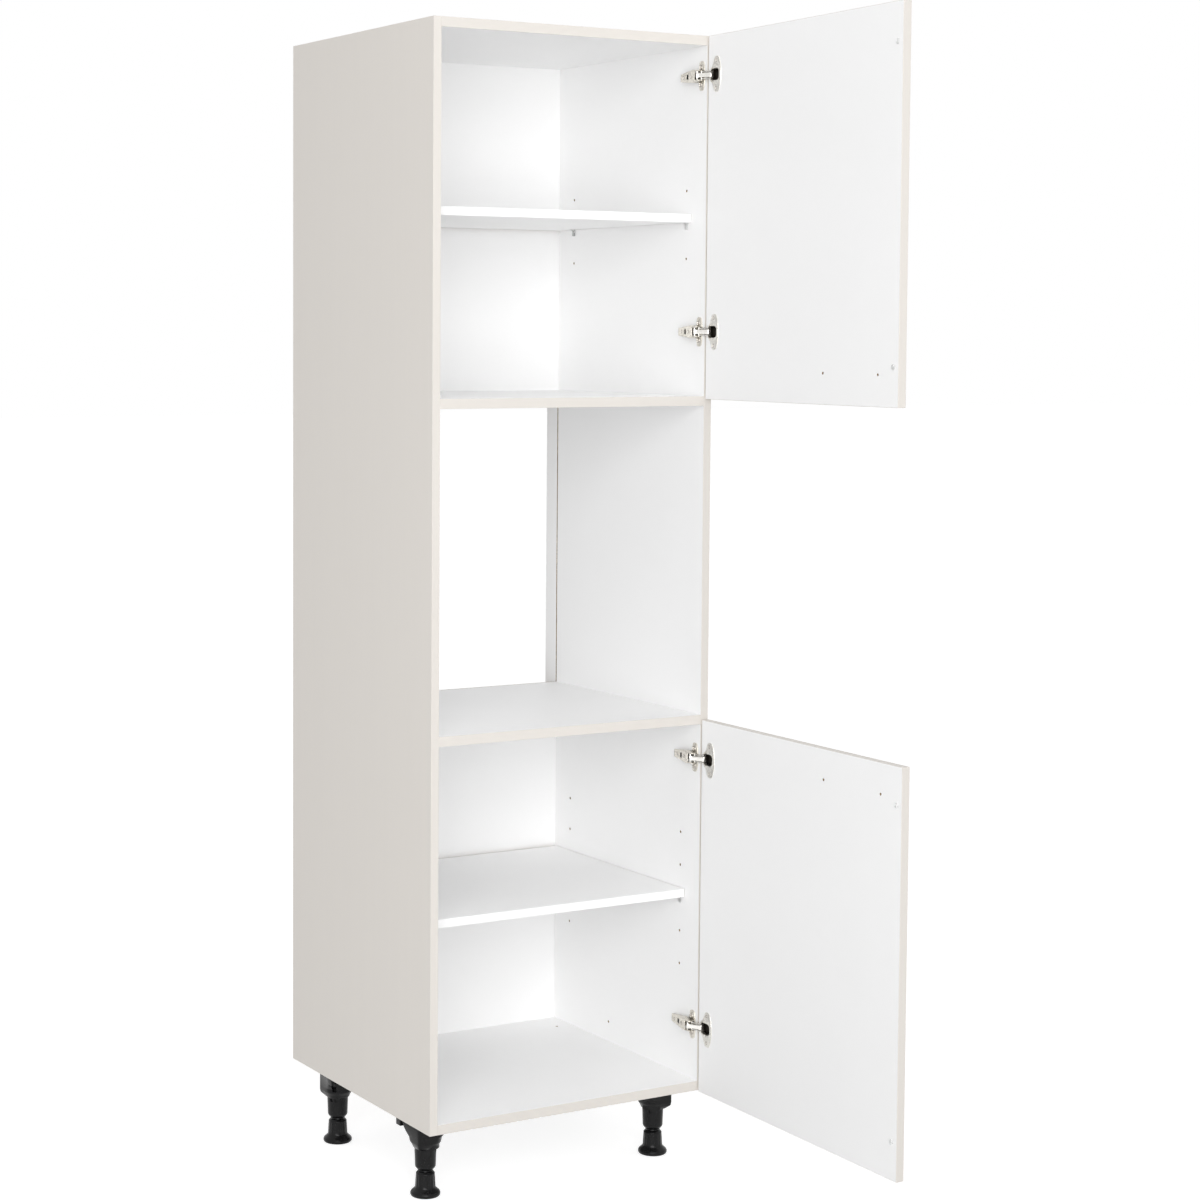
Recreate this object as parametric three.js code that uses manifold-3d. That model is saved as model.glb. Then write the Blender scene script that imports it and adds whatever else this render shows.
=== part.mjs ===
// Tall oven housing unit: a floor-standing cabinet 600 mm wide with an open bay for a built-in
// oven between two cupboards, each closed by one door. Millimetres, +Z up, the front faces -Y.
// The origin is on the floor, within 1 mm of the middle of the box that the cabinet with its open
// doors fills.

import * as THREE from 'three';
import { mergeVertices } from 'three/addons/utils/BufferGeometryUtils.js';
import Module from 'manifold-3d';

const wasm = await Module();
wasm.setup();

// ---------------------------------------------------------------- driving dimensions

const CARCASS = { width: 600, depth: 565, height: 2000 };
const LEG_HEIGHT = 145;
const FRONT_Y = 18; // y of the front edges of the carcass boards
const SIDE_T = 16; // side panels, doors and loose shelves
const BOARD_T = 18; // top, bottom and the two boards of the oven bay
const DOOR_T = 16;
const LOOSE_T = 16;

const OVEN_FLOOR_TOP = 724; // heights above the underside of the carcass
const OVEN_CEILING_UNDER = 1310;

const BACK = { thickness: 3, setback: 41, intoGroove: 7.5 };
const GROOVE = { depth: 8, play: 0.2 };

// Rows of holes for the shelf supports; each shelf hangs on the middle level of its row.
const PIN_HOLE = { diameter: 5, depth: 11, pitch: 64, frontY: 64, rearY: 464 };
const PIN_ROWS = { lower: { firstZ: 233, levels: 5 }, upper: { firstZ: 1587, levels: 3 } };
const SHELF = { setback: 48, endY: 515, sideGap: 1, aboveHole: 4 };
const SHELF_PIN = { halfWidth: 4.5, sheet: 1.8, height: 13, reach: 9.5, radius: 2.3, inPanel: 9 };

// A small through hole near each rear corner of the bottom board, and a blind one low on each side.
const FIXING_HOLE = { radius: 3, x: 251, y: 457 };
const LOW_HOLE = { y: 313, z: 58 };

const DOOR = { width: 596, gap: 2.5, edgeX: 298 };
const UPPER_DOOR = { z0: 1322.5, z1: 1999.5, restDeg: 87.5, handleZ: 1377.5 };
const LOWER_DOOR = { z0: -1, z1: 715, restDeg: 89.5, handleZ: 660 };
const HANDLE_HOLE = { diameter: 5, fromFreeEdge: 58, spacing: 160 };
const BUFFER = { diameter: 10, height: 2, fromFreeEdge: 15, inTop: 67, inBottom: 68 };

// Concealed hinge. Plan positions are for the closed door, measured from the carcass centre
// line (x) and from its front edges (y). The door turns about AXIS.
const AXIS = { x: 291.7, y: -9.9 };
const HINGE_Z = { upper: [1449, 1927], lower: [125, 641] };
const CUP = { x: 277.5, radius: 17.5, depth: 11.5, boreRadius: 17.8, boreDepth: 11.8 };
// Half of the pocket's outline, [x, height from the hinge's middle], from the far side.
const CUP_POCKET = { half: [[262.2, 5], [265, 10], [289.5, 10], [292.6, 8]], floor: 1 };
// Half of the flange's outline, in the same form: a lens with cut-off ends.
const CUP_FLANGE = {
  half: [[255, 8], [258, 22], [261.5, 31.5], [264, 33.5], [274.5, 33.5], [277, 31.5], [282, 20],
    [286, 8]],
  thickness: 1.2,
};
const MOUNTING_PLATE = { height: 4, frontY: 6, rearY: 68, halfZ: 8 };
const PLATE_WINGS = { height: 2, frontY: 6, rearY: 26, halfZ: 27.5, corner: 5.5 };
const ARM = {
  plan: [[280, 4.5], [280, 78], [276, 78], [272, 48], [265.2, 16.5], [265.2, 7], [268, 4.5]],
  halfWidths: [[4.5, 10], [14, 10], [26, 12.5], [36, 11], [46, 8], [78, 6.2]], // at each y
  slotHalf: 7.4,
  slotEndY: 17,
};
const OUTER_LINK = { x: 276, y: 8, length: 21.6, closedDeg: -56.3, ratio: -0.18 };
const INNER_LINK = { x: 268.5, y: 11.5, length: 28, closedDeg: -50.1, ratio: -0.1 };
const LINK = { halfWidth: 1.5, eye: 2.4, pin: 1.3, pinHalf: 9.6, play: 0.4 };
const LINK_BARS = { outerFrom: 5.2, outerTo: 6.8, innerHalf: 4.4 }; // heights from the hinge's middle

// Feet, about each foot's own upright axis. Profiles are [radius, z] points, listed downwards
// on the outside, with z counted from the underside of the carcass.
const FOOT = { x: 252, frontY: 103, rearY: 462 };
// The socket's plan is a square with cut-off corners, listed from the top down as [z, half width,
// cut, half width towards the carcass's own corner]. That corner has a cut of its own.
const SOCKET = [[0, 36, 6, 28], [-14, 34.5, 7, 28], [-27, 31, 10, 28], [-35, 29, 15, 28],
  [-43, 28.5, 15, 28], [-49, 24.5, 12, 27], [-55, 21.5, 10, 21.5]];
const SOCKET_CORNER_CUT = 4;
const SOCKET_LUG = { x0: -37, x1: -29, y0: 30, y1: 47, drop: 19 };
const HUB_BORE = { radius: 17.7, topZ: -8, pastEnd: -56 };
const SLEEVE_PROFILE = [[12.6, -18], [7, -18], [7, -10], [17.4, -10], [17.4, -55.3], [20.5, -55.3],
  [19.3, -89.5], [18.7, -91], [14.4, -96.5], [12.6, -96.5], [12.6, -18]];
const SCREW_PROFILE = [[0, -30], [12, -30], [12, -99.8], [14.8, -99.8], [17.6, -103], [18.4, -115],
  [19.2, -129.5], [22.4, -133], [26.4, -136.5], [28, -139], [28, -142.5], [26.6, -145], [0, -145]];

const PLATE_COLOR = { color: '#c3b8a6', roughness: 0.28, metalness: 1 };
const BEIGE = { color: '#d8d0c6', roughness: 0.55, metalness: 0 };
const WHITE = { color: '#ededec', roughness: 0.5, metalness: 0 };
const BLACK = { color: '#141414', roughness: 0.45, metalness: 0 };
const CLEAR = { color: '#dfe2e1', roughness: 0.3, metalness: 0 };

const INNER_X = CARCASS.width / 2 - SIDE_T; // inside face of each side panel
const BACK_Y = CARCASS.depth - BACK.setback - BACK.thickness; // front face of the back panels

// ---------------------------------------------------------------- solids

/** A closed geometry as a solid that can be joined and cut. */
function solid(geometry) {
  const bare = geometry.clone();
  bare.deleteAttribute('normal');
  bare.deleteAttribute('uv');
  const merged = mergeVertices(bare, 1e-4);
  const mesh = new wasm.Mesh({
    numProp: 3,
    vertProperties: new Float32Array(merged.attributes.position.array),
    triVerts: new Uint32Array(merged.index.array),
  });
  mesh.merge();
  return new wasm.Manifold(mesh);
}

/** The geometry of a joined or cut solid. */
function geometryOf(body) {
  const mesh = body.getMesh();
  const geometry = new THREE.BufferGeometry();
  const points = new THREE.BufferAttribute(new Float32Array(mesh.vertProperties), 3);
  geometry.setAttribute('position', points);
  geometry.setIndex(new THREE.BufferAttribute(new Uint32Array(mesh.triVerts), 1));
  geometry.computeVertexNormals();
  return geometry;
}

function union(first, ...rest) {
  return geometryOf(rest.reduce((sum, next) => sum.add(solid(next)), solid(first)));
}

function cut(first, ...tools) {
  return geometryOf(tools.reduce((left, next) => left.subtract(solid(next)), solid(first)));
}

function common(first, second) {
  return geometryOf(solid(first).intersect(solid(second)));
}

/** A box from its low and high corners. */
function box(x0, x1, y0, y1, z0, z1) {
  const geometry = new THREE.BoxGeometry(x1 - x0, y1 - y0, z1 - z0);
  return geometry.translate((x0 + x1) / 2, (y0 + y1) / 2, (z0 + z1) / 2);
}

/** A plan outline of [x, y] points raised from z0 to z1. */
function prismZ(outline, z0, z1) {
  const shape = new THREE.Shape(outline.map(([x, y]) => new THREE.Vector2(x, y)));
  const geometry = new THREE.ExtrudeGeometry(shape, { depth: z1 - z0, bevelEnabled: false });
  return geometry.translate(0, 0, z0);
}

/** An outline of [y, z] points carried along X from x0 to x1. */
function prismX(outline, x0, x1) {
  const geometry = prismZ(outline, x0, x1);
  geometry.rotateX(Math.PI / 2); // plan x stays, plan y becomes z, height becomes -y
  geometry.rotateZ(Math.PI / 2); // first outline axis to +Y, height to +X
  return geometry;
}

/** A round bar between two heights. */
function barZ(radius, x, y, z0, z1, sides = 12) {
  const geometry = new THREE.CylinderGeometry(radius, radius, z1 - z0, sides);
  geometry.rotateX(Math.PI / 2);
  return geometry.translate(x, y, (z0 + z1) / 2);
}

/** A round bar along X between x0 and x1. */
function barX(radius, x0, x1, y, z, sides = 8) {
  const geometry = new THREE.CylinderGeometry(radius, radius, x1 - x0, sides);
  geometry.rotateZ(Math.PI / 2);
  return geometry.translate((x0 + x1) / 2, y, z);
}

/** A round bar along Y between y0 and y1. */
function barY(radius, y0, y1, x, z, sides = 20) {
  const geometry = new THREE.CylinderGeometry(radius, radius, y1 - y0, sides);
  return geometry.translate(x, (y0 + y1) / 2, z);
}

/** A solid of revolution about the Z axis from [radius, z] points, listed down its outside. */
function turned(profile, sides = 20) {
  const points = profile.map(([r, z]) => new THREE.Vector2(r, z)).reverse();
  const geometry = new THREE.LatheGeometry(points, sides);
  return geometry.rotateX(Math.PI / 2);
}

/** A closed body through plan outlines of [x, y] points, all counter-clockwise, listed upwards. */
function lofted(sections) {
  const count = sections[0].outline.length;
  const points = sections.flatMap(({ outline, z }) => outline.flatMap(([x, y]) => [x, y, z]));
  const index = [];
  for (let level = 0; level + 1 < sections.length; level += 1) {
    for (let i = 0; i < count; i += 1) {
      const [a, b] = [level * count + i, level * count + ((i + 1) % count)];
      index.push(a, b, b + count, a, b + count, a + count);
    }
  }
  const top = (sections.length - 1) * count;
  for (let i = 1; i + 1 < count; i += 1) {
    index.push(0, i + 1, i, top, top + i, top + i + 1);
  }
  const geometry = new THREE.BufferGeometry();
  geometry.setAttribute('position', new THREE.Float32BufferAttribute(points, 3));
  geometry.setIndex(index);
  return geometry;
}

/** The outline of a rectangle in the XZ plane with round corners, as [x, z] points. */
function roundRectangle(x0, x1, z0, z1, radius, steps = 4) {
  const corners = [[x1 - radius, z1 - radius, 0], [x0 + radius, z1 - radius, 90],
    [x0 + radius, z0 + radius, 180], [x1 - radius, z0 + radius, 270]];
  const points = [];
  for (const [cx, cz, start] of corners) {
    for (let i = 0; i <= steps; i += 1) {
      const angle = THREE.MathUtils.degToRad(start + (90 * i) / steps);
      points.push([cx + radius * Math.cos(angle), cz + radius * Math.sin(angle)]);
    }
  }
  return points;
}

/** An XZ outline carried along Y from y0 to y1. */
function prismY(outline, y0, y1) {
  const geometry = prismZ(outline, 0, y1 - y0);
  geometry.rotateX(Math.PI / 2); // plan y becomes z, height becomes -y
  return geometry.translate(0, y1, 0);
}

function named(name, geometry, finish) {
  const mesh = new THREE.Mesh(geometry, new THREE.MeshStandardMaterial(finish));
  mesh.name = name;
  return mesh;
}

// ---------------------------------------------------------------- carcass

/** Heights of the shelf-support holes of one compartment. */
function pinLevels(level) {
  const { firstZ, levels } = PIN_ROWS[level];
  return Array.from({ length: levels }, (_, i) => firstZ + i * PIN_HOLE.pitch);
}

/** The middle level of one compartment, which carries its shelf. */
function shelfLevel(level) {
  return pinLevels(level)[(PIN_ROWS[level].levels - 1) / 2];
}

/** The bar that a blind hole in the inside face of a side panel is cut with. */
function drilling(side, y, z) {
  const x = [side * (INNER_X - 1), side * (INNER_X + PIN_HOLE.depth)].sort((a, b) => a - b);
  return barX(PIN_HOLE.diameter / 2, x[0], x[1], y, z, 12);
}

/** One side panel: full height, with the back-panel groove and two columns of pin holes. */
function sidePanel(side) {
  const half = CARCASS.width / 2;
  const grooveX = INNER_X + GROOVE.depth;
  const groove = [BACK_Y - GROOVE.play, BACK_Y + BACK.thickness + GROOVE.play];
  const outline = [[half, 0], [half, CARCASS.depth], [INNER_X, CARCASS.depth],
    [INNER_X, groove[1]], [grooveX, groove[1]], [grooveX, groove[0]],
    [INNER_X, groove[0]], [INNER_X, 0]];
  const mirrored = side > 0 ? outline : outline.map(([x, y]) => [-x, y]);
  const holes = [];
  for (const z of [...pinLevels('lower'), ...pinLevels('upper')]) {
    for (const y of [PIN_HOLE.frontY, PIN_HOLE.rearY]) {
      holes.push(drilling(side, y, z));
    }
  }
  holes.push(drilling(side, LOW_HOLE.y, LOW_HOLE.z));
  return cut(prismZ(mirrored, 0, CARCASS.height), ...holes);
}

/** A fixed board between the sides, its rear edge against the back panel. */
function fixedBoard(z0) {
  return box(-INNER_X, INNER_X, 0, BACK_Y, z0, z0 + BOARD_T);
}

/** The bottom board, with a small fixing hole near each rear corner. */
function bottomBoard() {
  const holes = [-1, 1].map((side) => barZ(FIXING_HOLE.radius, side * FIXING_HOLE.x,
    FIXING_HOLE.y, -1, BOARD_T + 1));
  return cut(fixedBoard(0), ...holes);
}

function backPanel(z0, z1) {
  const half = INNER_X + BACK.intoGroove;
  return box(-half, half, BACK_Y, BACK_Y + BACK.thickness, z0, z1);
}

function looseShelf(holeZ) {
  const half = INNER_X - SHELF.sideGap;
  const z = holeZ + SHELF.aboveHole;
  return box(-half, half, SHELF.setback, SHELF.endY, z, z + LOOSE_T);
}

/** A shelf support: a pin in the side panel, a plate on the panel and a ledge for the shelf. */
function shelfPin(side, y, holeZ) {
  const { halfWidth, sheet, height, reach, radius, inPanel } = SHELF_PIN;
  const top = holeZ + SHELF.aboveHole;
  const [y0, y1] = [y - halfWidth, y + halfWidth];
  const plate = box(INNER_X - sheet, INNER_X, y0, y1, top - height, top);
  const ledge = box(INNER_X - reach, INNER_X, y0, y1, top - sheet, top);
  const pin = barX(radius, INNER_X - sheet / 2, INNER_X + inPanel, y, holeZ);
  const geometry = union(plate, ledge, pin);
  if (side < 0) {
    geometry.rotateZ(Math.PI);
    geometry.translate(0, 2 * y, 0);
  }
  return geometry;
}

// ---------------------------------------------------------------- doors

/** The door as it hangs when closed: its board with cup bores and two holes for a handle. */
function doorBoard(door, hinges) {
  const y1 = -DOOR.gap;
  const y0 = y1 - DOOR_T;
  const board = box(DOOR.edgeX - DOOR.width, DOOR.edgeX, y0, y1, door.z0, door.z1);
  const tools = hinges.map((z) => barY(CUP.boreRadius, y1 - CUP.boreDepth, y1 + 1, CUP.x, z));
  const firstX = DOOR.edgeX - DOOR.width + HANDLE_HOLE.fromFreeEdge;
  for (const x of [firstX, firstX + HANDLE_HOLE.spacing]) {
    tools.push(barY(HANDLE_HOLE.diameter / 2, y0 - 1, y1 + 1, x, door.handleZ, 10));
  }
  return cut(board, ...tools);
}

/** A whole [x, z] outline from its upper half, whose points give heights above the middle z. */
function doubled(half, z) {
  const upper = half.map(([x, height]) => [x, z + height]);
  const lower = half.map(([x, height]) => [x, z - height]).reverse();
  return [...upper, ...lower];
}

/** A hinge cup sunk in the door, with its flange on the door's face and a pocket for the links. */
function hingeCup(z) {
  const face = -DOOR.gap;
  const flange = doubled(CUP_FLANGE.half, z);
  const body = union(
    barY(CUP.radius, face - CUP.depth, face + CUP_FLANGE.thickness / 2, CUP.x, z),
    prismY(flange, face, face + CUP_FLANGE.thickness),
  );
  const pocket = prismY(doubled(CUP_POCKET.half, z), face - CUP.depth + CUP_POCKET.floor,
    face + CUP_FLANGE.thickness + 1);
  return cut(body, pocket);
}

function doorBuffer(z) {
  const x = DOOR.edgeX - DOOR.width + BUFFER.fromFreeEdge;
  return barY(BUFFER.diameter / 2, -DOOR.gap, -DOOR.gap + BUFFER.height, x, z, 16);
}

/** Turns what belongs to a door from closed to the angle it stands at. */
function onDoor(geometry, restDeg) {
  geometry.translate(-AXIS.x, -AXIS.y, 0);
  geometry.rotateZ(THREE.MathUtils.degToRad(restDeg));
  return geometry.translate(AXIS.x, AXIS.y, 0);
}

// ---------------------------------------------------------------- hinges

/** The plate screwed to the side panel: a long base with two upright wings. */
function mountingPlate(z) {
  const { height, frontY, rearY, halfZ } = MOUNTING_PLATE;
  const base = box(INNER_X - height, INNER_X, frontY, rearY, z - halfZ, z + halfZ);
  const wings = roundRectangle(PLATE_WINGS.frontY, PLATE_WINGS.rearY, z - PLATE_WINGS.halfZ,
    z + PLATE_WINGS.halfZ, PLATE_WINGS.corner);
  return union(base, prismX(wings, INNER_X - PLATE_WINGS.height, INNER_X));
}

/** The hinge arm: tapered in plan and from the side, forked at its front end. */
function hingeArm(z) {
  const [x0, x1] = [INNER_X - 50, INNER_X]; // wider than the arm, for the shapes it is cut from
  const [z0, z1] = [z - 20, z + 20];
  const lower = ARM.halfWidths.map(([y, half]) => [y, z - half]);
  const upper = ARM.halfWidths.map(([y, half]) => [y, z + half]).reverse();
  const block = common(prismZ(ARM.plan, z0, z1), prismX([...lower, ...upper], x0, x1));
  const slot = box(x0, x1, 0, ARM.slotEndY, z - ARM.slotHalf, z + ARM.slotHalf);
  const radius = LINK.pin + LINK.play;
  const holes = [OUTER_LINK, INNER_LINK].map(({ x, y }) => barZ(radius, x, y, z0, z1));
  return cut(block, slot, ...holes);
}

/** A flat link from its pivot to its far end, between two heights. */
function linkBar(link, deg, z0, z1) {
  const angle = THREE.MathUtils.degToRad(deg);
  const along = [Math.cos(angle), Math.sin(angle)];
  const across = [-along[1], along[0]];
  const start = LINK.eye * 0.6;
  const corner = (s, w) => [link.x + along[0] * s + across[0] * w,
    link.y + along[1] * s + across[1] * w];
  const half = LINK.halfWidth;
  const bar = prismZ([corner(-start, -half), corner(link.length + half, -half),
    corner(link.length + half, half), corner(-start, half)], z0, z1);
  return { bar, eye: barZ(LINK.eye, link.x, link.y, z0, z1) };
}

/** The outer link: two flat bars side by side, joined by the pin that they turn on. */
function outerLink(z, restDeg) {
  const deg = OUTER_LINK.closedDeg + OUTER_LINK.ratio * restDeg;
  const { outerFrom, outerTo } = LINK_BARS;
  const low = linkBar(OUTER_LINK, deg, z - outerTo, z - outerFrom);
  const high = linkBar(OUTER_LINK, deg, z + outerFrom, z + outerTo);
  const pin = barZ(LINK.pin, OUTER_LINK.x, OUTER_LINK.y, z - LINK.pinHalf, z + LINK.pinHalf);
  return union(pin, low.bar, low.eye, high.bar, high.eye);
}

/** The inner link: one broad bar on its own pin, between the bars of the outer link. */
function innerLink(z, restDeg) {
  const deg = INNER_LINK.closedDeg + INNER_LINK.ratio * restDeg;
  const middle = linkBar(INNER_LINK, deg, z - LINK_BARS.innerHalf, z + LINK_BARS.innerHalf);
  const pin = barZ(LINK.pin, INNER_LINK.x, INNER_LINK.y, z - LINK.pinHalf, z + LINK.pinHalf);
  return union(pin, middle.bar, middle.eye);
}

// ---------------------------------------------------------------- feet

/** A square plan with cut-off corners; the corner towards -X and -Y has a half width of its own. */
function socketOutline(half, bevel, cornerHalf) {
  return [[-1, -1], [1, -1], [1, 1], [-1, 1]].flatMap(([sx, sy]) => {
    const odd = sx < 0 && sy < 0;
    const reach = odd ? cornerHalf : half;
    const short = reach - (odd ? SOCKET_CORNER_CUT : bevel);
    const pair = [[sx * reach, sy * short], [sx * short, sy * reach]];
    return sx * sy > 0 ? pair : pair.reverse();
  });
}

/** The socket under the bottom board: a moulded body with a lug and a blind bore from below. */
function footSocket(side, end) {
  const sections = SOCKET.map(([z, half, bevel, corner]) => (
    { outline: socketOutline(half, bevel, corner), z }));
  const { x0, x1, y0, y1, drop } = SOCKET_LUG;
  const body = union(lofted(sections.reverse()), box(x0, x1, y0, y1, -drop, 0));
  const { radius, topZ, pastEnd } = HUB_BORE;
  const bore = turned([[0, topZ], [radius, topZ], [radius, pastEnd], [0, pastEnd]]);
  return geometryOf(solid(body).subtract(solid(bore)).scale([-side, -end, 1]));
}

// ---------------------------------------------------------------- assembly

const unit = new THREE.Group();
unit.position.set(0, FRONT_Y, LEG_HEIGHT);

function addCarcass() {
  unit.add(
    named('left_side_panel', sidePanel(-1), BEIGE),
    named('right_side_panel', sidePanel(1), BEIGE),
    named('top_panel', fixedBoard(CARCASS.height - BOARD_T), WHITE),
    named('oven_bay_ceiling_panel', fixedBoard(OVEN_CEILING_UNDER), WHITE),
    named('oven_bay_floor_panel', fixedBoard(OVEN_FLOOR_TOP - BOARD_T), WHITE),
    named('bottom_panel', bottomBoard(), WHITE),
    named('upper_back_panel', backPanel(OVEN_CEILING_UNDER, CARCASS.height), WHITE),
    named('lower_back_panel', backPanel(0, OVEN_FLOOR_TOP), WHITE),
  );
}

function addShelves() {
  for (const level of ['upper', 'lower']) {
    const holeZ = shelfLevel(level);
    unit.add(named(`${level}_shelf`, looseShelf(holeZ), WHITE));
    for (const [hand, side] of [['left', -1], ['right', 1]]) {
      for (const [place, y] of [['front', PIN_HOLE.frontY], ['rear', PIN_HOLE.rearY]]) {
        const name = `${level}_shelf_pin_${hand}_${place}`;
        unit.add(named(name, shelfPin(side, y, holeZ), CLEAR));
      }
    }
  }
}

function addDoor(level, door, hinges) {
  const turn = (geometry) => onDoor(geometry, door.restDeg);
  unit.add(named(`${level}_door`, turn(doorBoard(door, hinges)), BEIGE));
  const buffers = [['top', door.z1 - BUFFER.inTop], ['bottom', door.z0 + BUFFER.inBottom]];
  for (const [place, z] of buffers) {
    unit.add(named(`${level}_door_buffer_${place}`, turn(doorBuffer(z)), CLEAR));
  }
  for (const [place, z] of [['bottom', hinges[0]], ['top', hinges[1]]]) {
    const name = `${level}_hinge_${place}`;
    unit.add(
      named(`${name}_plate`, mountingPlate(z), PLATE_COLOR),
      named(`${name}_arm`, hingeArm(z), PLATE_COLOR),
      named(`${name}_cup`, turn(hingeCup(z)), PLATE_COLOR),
      named(`${name}_outer_link`, outerLink(z, door.restDeg), PLATE_COLOR),
      named(`${name}_inner_link`, innerLink(z, door.restDeg), PLATE_COLOR),
    );
  }
}

function addFeet() {
  for (const [hand, side] of [['left', -1], ['right', 1]]) {
    for (const [place, end, y] of [['front', -1, FOOT.frontY], ['rear', 1, FOOT.rearY]]) {
      const foot = new THREE.Group();
      foot.position.set(side * FOOT.x, y, 0);
      foot.add(
        named(`foot_${place}_${hand}_socket`, footSocket(side, end), BLACK),
        named(`foot_${place}_${hand}_sleeve`, turned(SLEEVE_PROFILE), BLACK),
        named(`foot_${place}_${hand}_screw`, turned(SCREW_PROFILE), BLACK),
      );
      unit.add(foot);
    }
  }
}

addCarcass();
addShelves();
addDoor('upper', UPPER_DOOR, HINGE_Z.upper);
addDoor('lower', LOWER_DOOR, HINGE_Z.lower);
addFeet();

export default unit;
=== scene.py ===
"""Dressing, light and camera for a tall oven housing unit.

The unit is a carcass with an open bay for an oven between two cupboards. Sizes below are in
millimetres in the carcass frame: x from the centre line, y from the front edges, z from the
underside of the carcass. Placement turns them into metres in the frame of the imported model.
"""

from __future__ import annotations

import logging
import math
from dataclasses import dataclass, field
from enum import Enum
from typing import Optional, Sequence

import bmesh
import bpy
import numpy as np
from mathutils import Matrix, Vector
from numpy.typing import NDArray

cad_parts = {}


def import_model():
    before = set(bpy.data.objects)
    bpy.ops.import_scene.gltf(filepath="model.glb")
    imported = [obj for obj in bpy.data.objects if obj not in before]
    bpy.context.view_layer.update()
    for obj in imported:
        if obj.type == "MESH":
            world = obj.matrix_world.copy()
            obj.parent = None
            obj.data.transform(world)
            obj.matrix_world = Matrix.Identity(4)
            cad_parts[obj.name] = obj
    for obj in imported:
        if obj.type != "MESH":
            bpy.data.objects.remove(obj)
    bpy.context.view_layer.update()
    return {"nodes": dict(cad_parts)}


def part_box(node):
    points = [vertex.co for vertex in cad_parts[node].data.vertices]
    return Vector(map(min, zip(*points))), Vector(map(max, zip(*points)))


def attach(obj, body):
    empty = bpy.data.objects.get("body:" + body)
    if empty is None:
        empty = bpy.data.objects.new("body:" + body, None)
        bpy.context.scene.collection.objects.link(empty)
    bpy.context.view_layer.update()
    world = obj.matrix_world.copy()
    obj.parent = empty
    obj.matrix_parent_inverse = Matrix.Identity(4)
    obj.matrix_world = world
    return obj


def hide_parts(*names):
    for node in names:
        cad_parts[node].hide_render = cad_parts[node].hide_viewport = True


Points = NDArray[np.float64]
Pair = tuple[float, float]
Triple = tuple[float, float, float]
Colour = Triple

LOG = logging.getLogger("oven_housing")

MM = 0.001  # metres in a millimetre
FULL_TURN = 2 * math.pi
CARCASS_ORIGIN_MM = (0.0, 18.0, 145.0)  # the carcass frame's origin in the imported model
HALF_WIDTH = 300.0  # outer faces of the side panels
INNER_X = 284.0  # their inner faces
BAND = 0.8  # thickness of the edge bands
SKIN = 0.4  # thickness of the laminate
WHITE = (1.0, 1.0, 1.0)
DOOR_FACE_Y = -2.5  # inner face of a closed door
CUP_SHADE_DEPTH = 6.8  # how far below that face the inside of a hinge cup is painted dark, as painted shade


class Half(Enum):
    """One of two ends of an axis, given by its sign."""

    @property
    def word(self) -> str:
        """Its name in node names."""
        return self.name.lower()


class Side(Half):
    """Left or right side of the unit, as the sign of x."""

    LEFT = -1
    RIGHT = 1


class End(Half):
    """Front or rear end of the unit, as the sign of y."""

    FRONT = -1
    REAR = 1


# ---------------------------------------------------------------- placement and mesh making


@dataclass(frozen=True)
class Placement:
    """A turn and shift from a piece's own millimetres to the model's metres.

    Args:
        matrix: 4 by 4 matrix that acts on points in millimetres, before they become metres.
    """

    matrix: Points

    @staticmethod
    def carcass(x: float = 0.0, y: float = 0.0, z: float = 0.0) -> "Placement":
        """Places a piece drawn about a point of the carcass.

        Args:
            x: The point's x in millimetres.
            y: Its y.
            z: Its z.

        Returns:
            The placement.
        """
        matrix = np.eye(4)
        matrix[:3, 3] = np.add(CARCASS_ORIGIN_MM, (x, y, z))
        return Placement(matrix)

    def mirrored(self, x: int = 1, y: int = 1) -> "Placement":
        """Flips the piece left and right, or front and back, where -1 is given."""
        return Placement(self.matrix @ np.diag([float(x), float(y), 1.0, 1.0]))

    def turned(self, pivot: Pair, degrees: float) -> "Placement":
        """Turns the piece about an upright line before it is placed.

        Args:
            pivot: x and y of the line, in the piece's millimetres.
            degrees: Turn about +Z.

        Returns:
            The new placement.
        """
        angle = math.radians(degrees)
        turn, there = np.eye(4), np.eye(4)
        turn[:2, :2] = [[math.cos(angle), -math.sin(angle)], [math.sin(angle), math.cos(angle)]]
        there[:2, 3] = pivot
        return Placement(self.matrix @ there @ turn @ np.linalg.inv(there))

    def apply(self, points: Points) -> Points:
        """Moves points in millimetres into the model, in metres."""
        return (points @ self.matrix[:3, :3].T + self.matrix[:3, 3]) * MM


def ring_quads(rows: int, columns: int) -> NDArray[np.int64]:
    """Faces of a grid whose rows are closed rings.

    Point (i, j) has number i * columns + j; each face joins (i, j), (i, j + 1), (i + 1, j + 1)
    and (i + 1, j), with j + 1 counted round the ring.

    Args:
        rows: Number of rings.
        columns: Points in each ring.

    Returns:
        Array of faces, four point numbers each.
    """
    i, j = np.meshgrid(np.arange(rows - 1), np.arange(columns), indexing="ij")
    k = (j + 1) % columns
    low, high = i * columns, (i + 1) * columns
    return np.stack([low + j, low + k, high + k, high + j], -1).reshape(-1, 4)


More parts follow.
